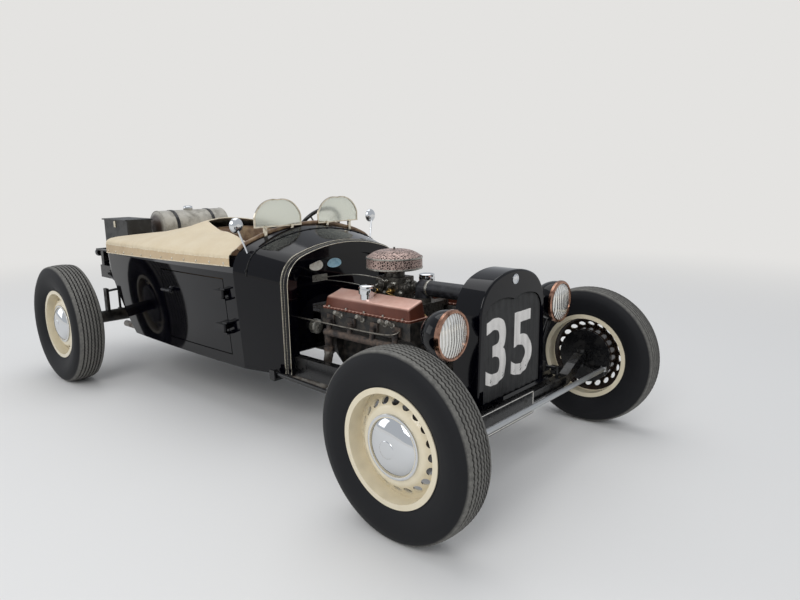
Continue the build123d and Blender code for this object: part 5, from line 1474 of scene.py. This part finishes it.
# Cover screws: steel hexagon heads on round washers, zinc plated and gone dull. They clamp both long
# edges of each rocker cover's flange down on the head.
zinc = weathered("dull_zinc_plate", "#A7A59D", 0.4, 0.9, ("#A9A79F", "#6B665D", 9, 0.5, (0.3, 0.6)))
screw_row, screws_x = 0.0590, (0.640, 0.760, 0.882, 1.004, 1.124)
moves = [
    Matrix.Translation((x, side * rocker_y + row, flange_z))
    for side in (-1, 1) for row in (-screw_row, screw_row) for x in screws_x
]
bpy.ops.mesh.primitive_cylinder_add(vertices=6, radius=0.0066, depth=0.0080, location=(0, 0, 0.0030))
screw = settle("cover_screw")
choose(screw, lambda middle, normal: normal.z > 0.9)
bpy.ops.mesh.inset(thickness=0.0012)
bpy.ops.transform.translate(value=(0, 0, 0.0008))
choose(screw, lambda middle, normal: normal.z < -0.9)
bpy.ops.mesh.extrude_region_move(TRANSFORM_OT_translate={"value": (0, 0, -0.0002)})
bpy.ops.transform.resize(value=(1.5, 1.5, 1.0))
bpy.ops.object.mode_set(mode="OBJECT")
screws = repeat_piece("cover_screws", screw, moves)
dress(screws, zinc, "car")

# Oil filler: a cap pressed from sheet with a milled rim to grip, chromium plated. One is pushed on
# the stub of each rocker cover.
filler_x, cap_ribs, rib_depth = 0.848, 48, 0.0018
milled_low, milled_high, milled_r = 0.7470, 0.7705, 0.041
for hand, side in hands:
    filler = turn_on_lathe(
        "filler_cap_" + hand,
        ((0.7100, 0.0002), (0.7100, 0.0340), (0.7440, 0.0345), (0.7450, 0.0405), (0.7475, 0.0420),
         (0.7700, 0.0420), (0.7725, 0.0405), (0.7745, 0.0405), (0.7765, 0.0415), (0.7830, 0.0410),
         (0.7870, 0.0370), (0.7892, 0.0250), (0.7900, 0.0002)),
        (filler_x, side * rocker_y, 0.0), (0, 0, 1), 2 * cap_ribs,
    )
    for vertex in filler.data.vertices:
        out = vertex.co - Vector((filler_x, side * rocker_y, vertex.co.z))
        if milled_low < vertex.co.z < milled_high and out.length > milled_r:
            if round(atan2(out.y, out.x) / (2 * pi) * 2 * cap_ribs) % 2:
                vertex.co -= out.normalized() * rib_depth
    dress(filler, chrome, "car")

# Air cleaner: a dome of copper-brown wire mesh over an oiled element, on a pressed pan. The mesh is
# drawn as 11 mm cells, coarser than real, so that its speckle shows.
mesh_copper, tree, surface = new_material("oiled_copper_mesh", "#75655F", 0.42, 0.7)
where = add_node(tree, "TexCoord").outputs["Object"]
cells = add_node(
    tree, "TexVoronoi", {"feature": "DISTANCE_TO_EDGE"}, {"Scale": 88.0, "Randomness": 0.75},
    {"Vector": where},
)
wire = add_node(
    tree, "MapRange", values={"From Min": 0.10, "From Max": 0.30, "To Min": 1.0, "To Max": 0.0},
    links={"Value": cells.outputs["Distance"]},
)
mesh_tone = add_node(
    tree, "Mix", {"data_type": "RGBA"}, {6: linear("#1E1817"), 7: linear("#BCA49B")},
    {"Factor": wire.outputs["Result"]},
)
tree.links.new(mesh_tone.outputs[2], surface.inputs["Base Color"])
mesh_bump = add_node(
    tree, "Bump", values={"Strength": 1.0, "Distance": 0.005},
    links={"Height": wire.outputs["Result"]},
)
tree.links.new(mesh_bump.outputs["Normal"], surface.inputs["Normal"])
finish_nodes(mesh_copper, "air_cleaner")
carb_x = 0.822
for name, z in (("cleaner_band_low", 0.8440), ("cleaner_band_high", 0.8950)):
    hoop = turn_on_lathe(
        name,
        ((-0.004, 0.1395), (-0.004, 0.1412), (-0.003, 0.1422), (0.003, 0.1422), (0.004, 0.1412),
         (0.004, 0.1395)),
        (carb_x, 0, z), (0, 0, 1), 72, closed=True,
    )
    dress(hoop, zinc, "car")

# Carburettor fittings: cast float bowls, brass unions and jets, and the bright rods and pipes of the
# throttle, choke and fuel feed. Two oil-stained rods run along the manifolds.
brass = weathered("turned_brass", "#B08D4E", 0.3, 1.0, ("#B7965A", "#6F5733", 10, 0.5, (0.2, 0.5)))
rod_stained = weathered(
    "oil_stained_steel_rod", "#77736B", 0.42, 0.9, ("#7D7971", "#3E3833", 24, 0.55, (0.32, 0.6))
)
fittings = (
    ((0.902, -0.026, 0.752), (1, 0, 0), 0.026, 0.034, alloy),
    ((0.902, 0.030, 0.752), (1, 0, 0), 0.026, 0.034, alloy),
    ((0.742, 0.0, 0.748), (-1, 0, 0), 0.030, 0.026, alloy),
    ((0.800, -0.062, 0.765), (0, -1, 0), 0.020, 0.030, alloy),
    ((0.862, -0.062, 0.735), (0, -1, 0), 0.014, 0.038, brass),
    ((0.772, -0.062, 0.730), (0, -1, 0), 0.011, 0.032, brass),
    ((0.835, -0.062, 0.785), (0, -1, 0), 0.009, 0.024, zinc),
    ((0.800, 0.062, 0.765), (0, 1, 0), 0.020, 0.030, alloy),
    ((0.862, 0.062, 0.735), (0, 1, 0), 0.014, 0.038, brass),
    ((0.880, -0.060, 0.772), (0, -1, 0.3), 0.010, 0.022, zinc),
    ((0.790, -0.060, 0.742), (0, -1, -0.2), 0.012, 0.020, zinc),
    ((0.850, -0.060, 0.758), (0.3, -1, 0), 0.008, 0.030, zinc),
    ((0.898, 0.0, 0.778), (1, 0, 0.3), 0.011, 0.022, zinc),
    ((0.896, -0.048, 0.728), (1, -0.3, 0), 0.012, 0.026, zinc),
    ((0.815, -0.060, 0.722), (0, -1, 0), 0.010, 0.018, zinc),
)
for i, (place, axis, radius, length, material) in enumerate(fittings):
    fitting = turn_on_lathe(
        "carburettor_fitting_%d" % (i + 1),
        ((-0.006, 0.0002), (-0.006, radius), (length * 0.45, radius), (length * 0.50, radius * 1.14),
         (length * 0.62, radius * 1.14), (length * 0.68, radius * 0.9), (length * 0.88, radius * 0.8),
         (length, radius * 0.45), (length * 1.12, radius * 0.40), (length * 1.15, 0.0002)),
        place, axis, 24,
    )
    dress(fitting, material, "car")


def curve_through(points, steps=8):
    """A smooth run through points: a cubic from each to the next, shaped by its neighbours."""
    points = [Vector(p) for p in points]
    run = []
    for k, (a, b) in enumerate(zip(points, points[1:])):
        before, after = points[max(0, k - 1)], points[min(len(points) - 1, k + 2)]
        for step in range(steps):
            t = step / steps
            run.append(
                0.5 * ((2 * a) + (b - before) * t + (2 * before - 5 * a + 4 * b - after) * t ** 2
                       + (3 * a - before - 3 * b + after) * t ** 3)
            )
    return run + [points[-1]]


rods = (
    ("throttle_rod", 0.0030, zinc,
     ((0.835, -0.092, 0.787), (0.800, -0.098, 0.800), (0.640, -0.104, 0.802), (0.425, -0.104, 0.770))),
    ("choke_wire", 0.0019, zinc,
     ((0.772, -0.096, 0.742), (0.740, -0.112, 0.752), (0.600, -0.128, 0.762), (0.425, -0.132, 0.760))),
    ("fuel_union_pipe", 0.0040, brass,
     ((0.862, -0.106, 0.735), (0.900, -0.112, 0.728), (1.020, -0.112, 0.700), (1.120, -0.100, 0.640),
      (1.176, -0.096, 0.560))),
    ("vacuum_pipe", 0.0045, zinc, ((0.952, 0.030, 0.758), (0.985, 0.034, 0.745), (1.010, 0.040, 0.700))),
    ("return_spring_wire", 0.0040, zinc,
     ((0.800, -0.098, 0.770), (0.770, -0.120, 0.742), (0.742, -0.122, 0.706))),
    ("manifold_rod_right", 0.0038, rod_stained,
     ((0.425, -0.318, 0.588), (0.560, -0.340, 0.598), (1.060, -0.342, 0.600), (1.120, -0.285, 0.620))),
    ("manifold_rod_left", 0.0038, rod_stained,
     ((0.425, 0.318, 0.588), (0.560, 0.340, 0.598), (1.060, 0.342, 0.600), (1.120, 0.285, 0.620))),
)
for name, radius, material, points in rods:
    dress(bent_wire(name, curve_through(points), radius), material, "car")

# Plugs: glazed porcelain insulators, browned by oil, each in a turned steel body. They are screwed
# into the heads between the ports, four a side.
porcelain = weathered("oily_porcelain", "#77746C", 0.3, 0.0, ("#8E8A81", "#3B3733", 8, 0.6))
plug = turn_on_lathe(
    "plug_seed",
    ((-0.004, 0.0002), (-0.004, 0.0120), (0.006, 0.0120), (0.008, 0.0085), (0.022, 0.0080), (0.025, 0.0105),
     (0.050, 0.0100), (0.053, 0.0070), (0.056, 0.0002)),
    (0, 0, 0), (0, 0, 1), 14,
)
plugs_x, plug_y, plug_z = (0.735, 0.885, 1.030, 1.075), 0.291, 0.632
moves = [
    aimed((x, side * plug_y, plug_z), Vector((0.0, side * 0.86, 0.5)).normalized(), "Z", "Y")
    for side in (-1, 1) for x in plugs_x
]
plugs = repeat_piece("spark_plugs", plug, moves)
dress(plugs, porcelain, "car")

# Hoses: black rubber moulded over cord and pushed on the water necks of the heads and the radiator.
# Pale worm-drive bands nip them tight.
hose_rubber = weathered(
    "moulded_hose_rubber", "#1B1C20", 0.5, 0.0,
    ("#191A1E", "#35363B", 30, 0.5, (0.4, 0.65)), (2.5, 0.3, 0.4),
)
finish_nodes(hose_rubber, "radiator_hoses")
for name, x in (("hose_band_front", 1.385), ("hose_band_rear", 1.050)):
    band = turn_on_lathe(
        name,
        ((-0.007, 0.0378), (-0.007, 0.0392), (-0.006, 0.0398), (0.006, 0.0398), (0.007, 0.0392),
         (0.007, 0.0378)),
        (x, 0, 0.760), (1, 0, 0), 40, closed=True,
    )
    dress(band, zinc, "car")

# Firewall fittings: two bare paper labels and a small blank plate of pressed zinc stuck side by side,
# and a finned alloy blower housing bolted low on the right.
label_cream = weathered("cream_paper_label", "#DED8C4", 0.5, 0.0, ("#F5F1E4", "#D3CCB9", 15, 0.5))
label_blue = weathered("blue_paper_label", "#9CC9DC", 0.5, 0.0, ("#B9E2F2", "#84BCD4", 15, 0.5))
wall_face_x, label_z, label_thick, foot_share = 0.4246, 0.836, 0.0012, 0.7
for name, y, half_y, half_z, material in (
    ("firewall_label_cream", -0.172, 0.046, 0.034, label_cream),
    ("firewall_label_blue", -0.045, 0.050, 0.030, label_blue),
):
    bpy.ops.mesh.primitive_cylinder_add(
        vertices=40, radius=1.0, depth=label_thick, location=(wall_face_x, y, label_z),
        rotation=(0, pi / 2, 0),
    )
    label = settle(name)
    for vertex in label.data.vertices:
        up = (vertex.co.z - label_z) * half_z
        vertex.co.y = y + (vertex.co.y - y) * half_y
        vertex.co.z = label_z + up * (foot_share if up < 0 else 1.0)
    dress(label, material, "car")
small_plate = add_box("firewall_plate", (wall_face_x, -0.150, 0.772), (label_thick, 0.104, 0.036))
choose(small_plate, lambda middle, normal: normal.x > 0.9)
bpy.ops.mesh.inset(thickness=0.0035)
bpy.ops.transform.translate(value=(-0.0005, 0, 0))
soften(small_plate, lambda middle, way: abs(way.x) > 0.9, 0.005, 4)
dress(small_plate, zinc, "car")
blower_y, blower_z, blower_steps = -0.200, 0.520, 36
fin_from_r, notch_share = 0.0375, 0.93
blower = turn_on_lathe(
    "blower_housing",
    ((-0.004, 0.0002), (-0.004, 0.0400), (0.006, 0.0400), (0.007, 0.0350), (0.011, 0.0350), (0.012, 0.0400),
     (0.016, 0.0400), (0.017, 0.0350), (0.021, 0.0350), (0.022, 0.0395), (0.027, 0.0390), (0.034, 0.0300),
     (0.040, 0.0160), (0.048, 0.0150), (0.050, 0.0002)),
    (0.4240, blower_y, blower_z), (1, 0, 0), blower_steps,
)
for vertex in blower.data.vertices:
    out = Vector((vertex.co.y - blower_y, vertex.co.z - blower_z))
    if out.length > fin_from_r and round(atan2(out.y, out.x) / (2 * pi) * blower_steps) % 2:
        vertex.co.y, vertex.co.z = blower_y + out.x * notch_share, blower_z + out.y * notch_share
dress(blower, zinc, "car")

# Fuel tank: a riveted drum in grey paint, faded in streaks, its ends rolled on over a raised bead.
# The right end, beside the box, has gone brown with spilt fuel and rust.
tank_paint, tree, surface = new_material("faded_grey_paint", "#A39F94", 0.42)
where = patchy(tree, surface, "#ADA99F", "#7F7B72", 70, 0.55, (0.3, 0.6))
along = add_node(tree, "SeparateXYZ", links={"Vector": where})
end_share = add_node(
    tree, "MapRange", values={"From Min": -0.012, "From Max": -0.026},
    links={"Value": along.outputs["Y"]},
)
patch_tone = surface.inputs["Base Color"].links[0].from_socket
end_tone = add_node(
    tree, "Mix", {"data_type": "RGBA"}, {7: linear("#4A3F38")},
    {"Factor": end_share.outputs["Result"], 6: patch_tone},
)
tree.links.new(end_tone.outputs[2], surface.inputs["Base Color"])
finish_nodes(tank_paint, "fuel_tank")
tank_x, tank_z = -1.578, 0.940
for name, y in (("tank_bead_right", -0.004), ("tank_bead_left", 0.526)):
    bead = turn_on_lathe(
        name, ((-0.004, 0.1235), (-0.003, 0.1268), (0.0, 0.1280), (0.003, 0.1268), (0.004, 0.1235)),
        (tank_x, y, tank_z), (0, 1, 0), 60, closed=True,
    )
    dress(bead, tank_paint, "car")
tank_cap = turn_on_lathe(
    "tank_filler_cap",
    ((1.060, 0.0002), (1.060, 0.0330), (1.074, 0.0330), (1.076, 0.0350), (1.088, 0.0345),
     (1.092, 0.0300), (1.0945, 0.0180), (1.0955, 0.0002)),
    (tank_x, 0.250, 0.0), (0, 0, 1), 36,
)
dress(tank_cap, chrome, "car")

# Battery box: pressed steel with an overhanging lid, in thick black rubber paint, held by a bright
# over-centre latch on each face.
rubber_paint = weathered(
    "black_rubber_paint", "#111214", 0.5, 0.0,
    ("#101113", "#2C2C2C", 45, 0.45, (0.4, 0.7)), (3, 0.4, 0.5),
)
finish_nodes(rubber_paint, "battery_box")
for name, y, turn in (("box_latch_right", -0.3005, -1), ("box_latch_left", -0.1195, 1)):
    latch = add_box(name, (-1.630, y + turn * 0.002, 0.985), (0.022, 0.004, 0.050))
    choose(latch, lambda middle, normal: normal.y * turn > 0.9)
    bpy.ops.mesh.inset(thickness=0.004)
    bpy.ops.transform.translate(value=(0, turn * 0.005, 0))
    soften(latch, lambda middle, way: True, 0.0009, 2)
    dress(latch, nickel, "car")

# Tail lamps: ruby glass domes held by turned and chromed bezels. They are screwed on the ends of the
# rack's lamp stubs, one a side.
ruby = weathered(
    "ruby_glass", "#7D0F10", 0.12, 0.0, ("#8E1213", "#4E0808", 14, 0.5), Coat_Weight=0.6
)
for hand, side in hands:
    place = (-1.8775, side * 0.335, 0.770)
    lens = turn_on_lathe(
        "tail_lens_" + hand,
        ((0.0, 0.0002), (0.0, 0.0215), (0.004, 0.0210), (0.009, 0.0170), (0.012, 0.0100),
         (0.0130, 0.0002)),
        place, (-1, 0, 0), 32,
    )
    bezel = turn_on_lathe(
        "tail_bezel_" + hand,
        ((-0.006, 0.0262), (-0.006, 0.0280), (0.002, 0.0280), (0.004, 0.0262), (0.0045, 0.0225),
         (0.001, 0.0210), (0.0, 0.0262)),
        place, (-1, 0, 0), 40, closed=True,
    )
    dress(lens, ruby, "car")
    dress(bezel, chrome, "car")
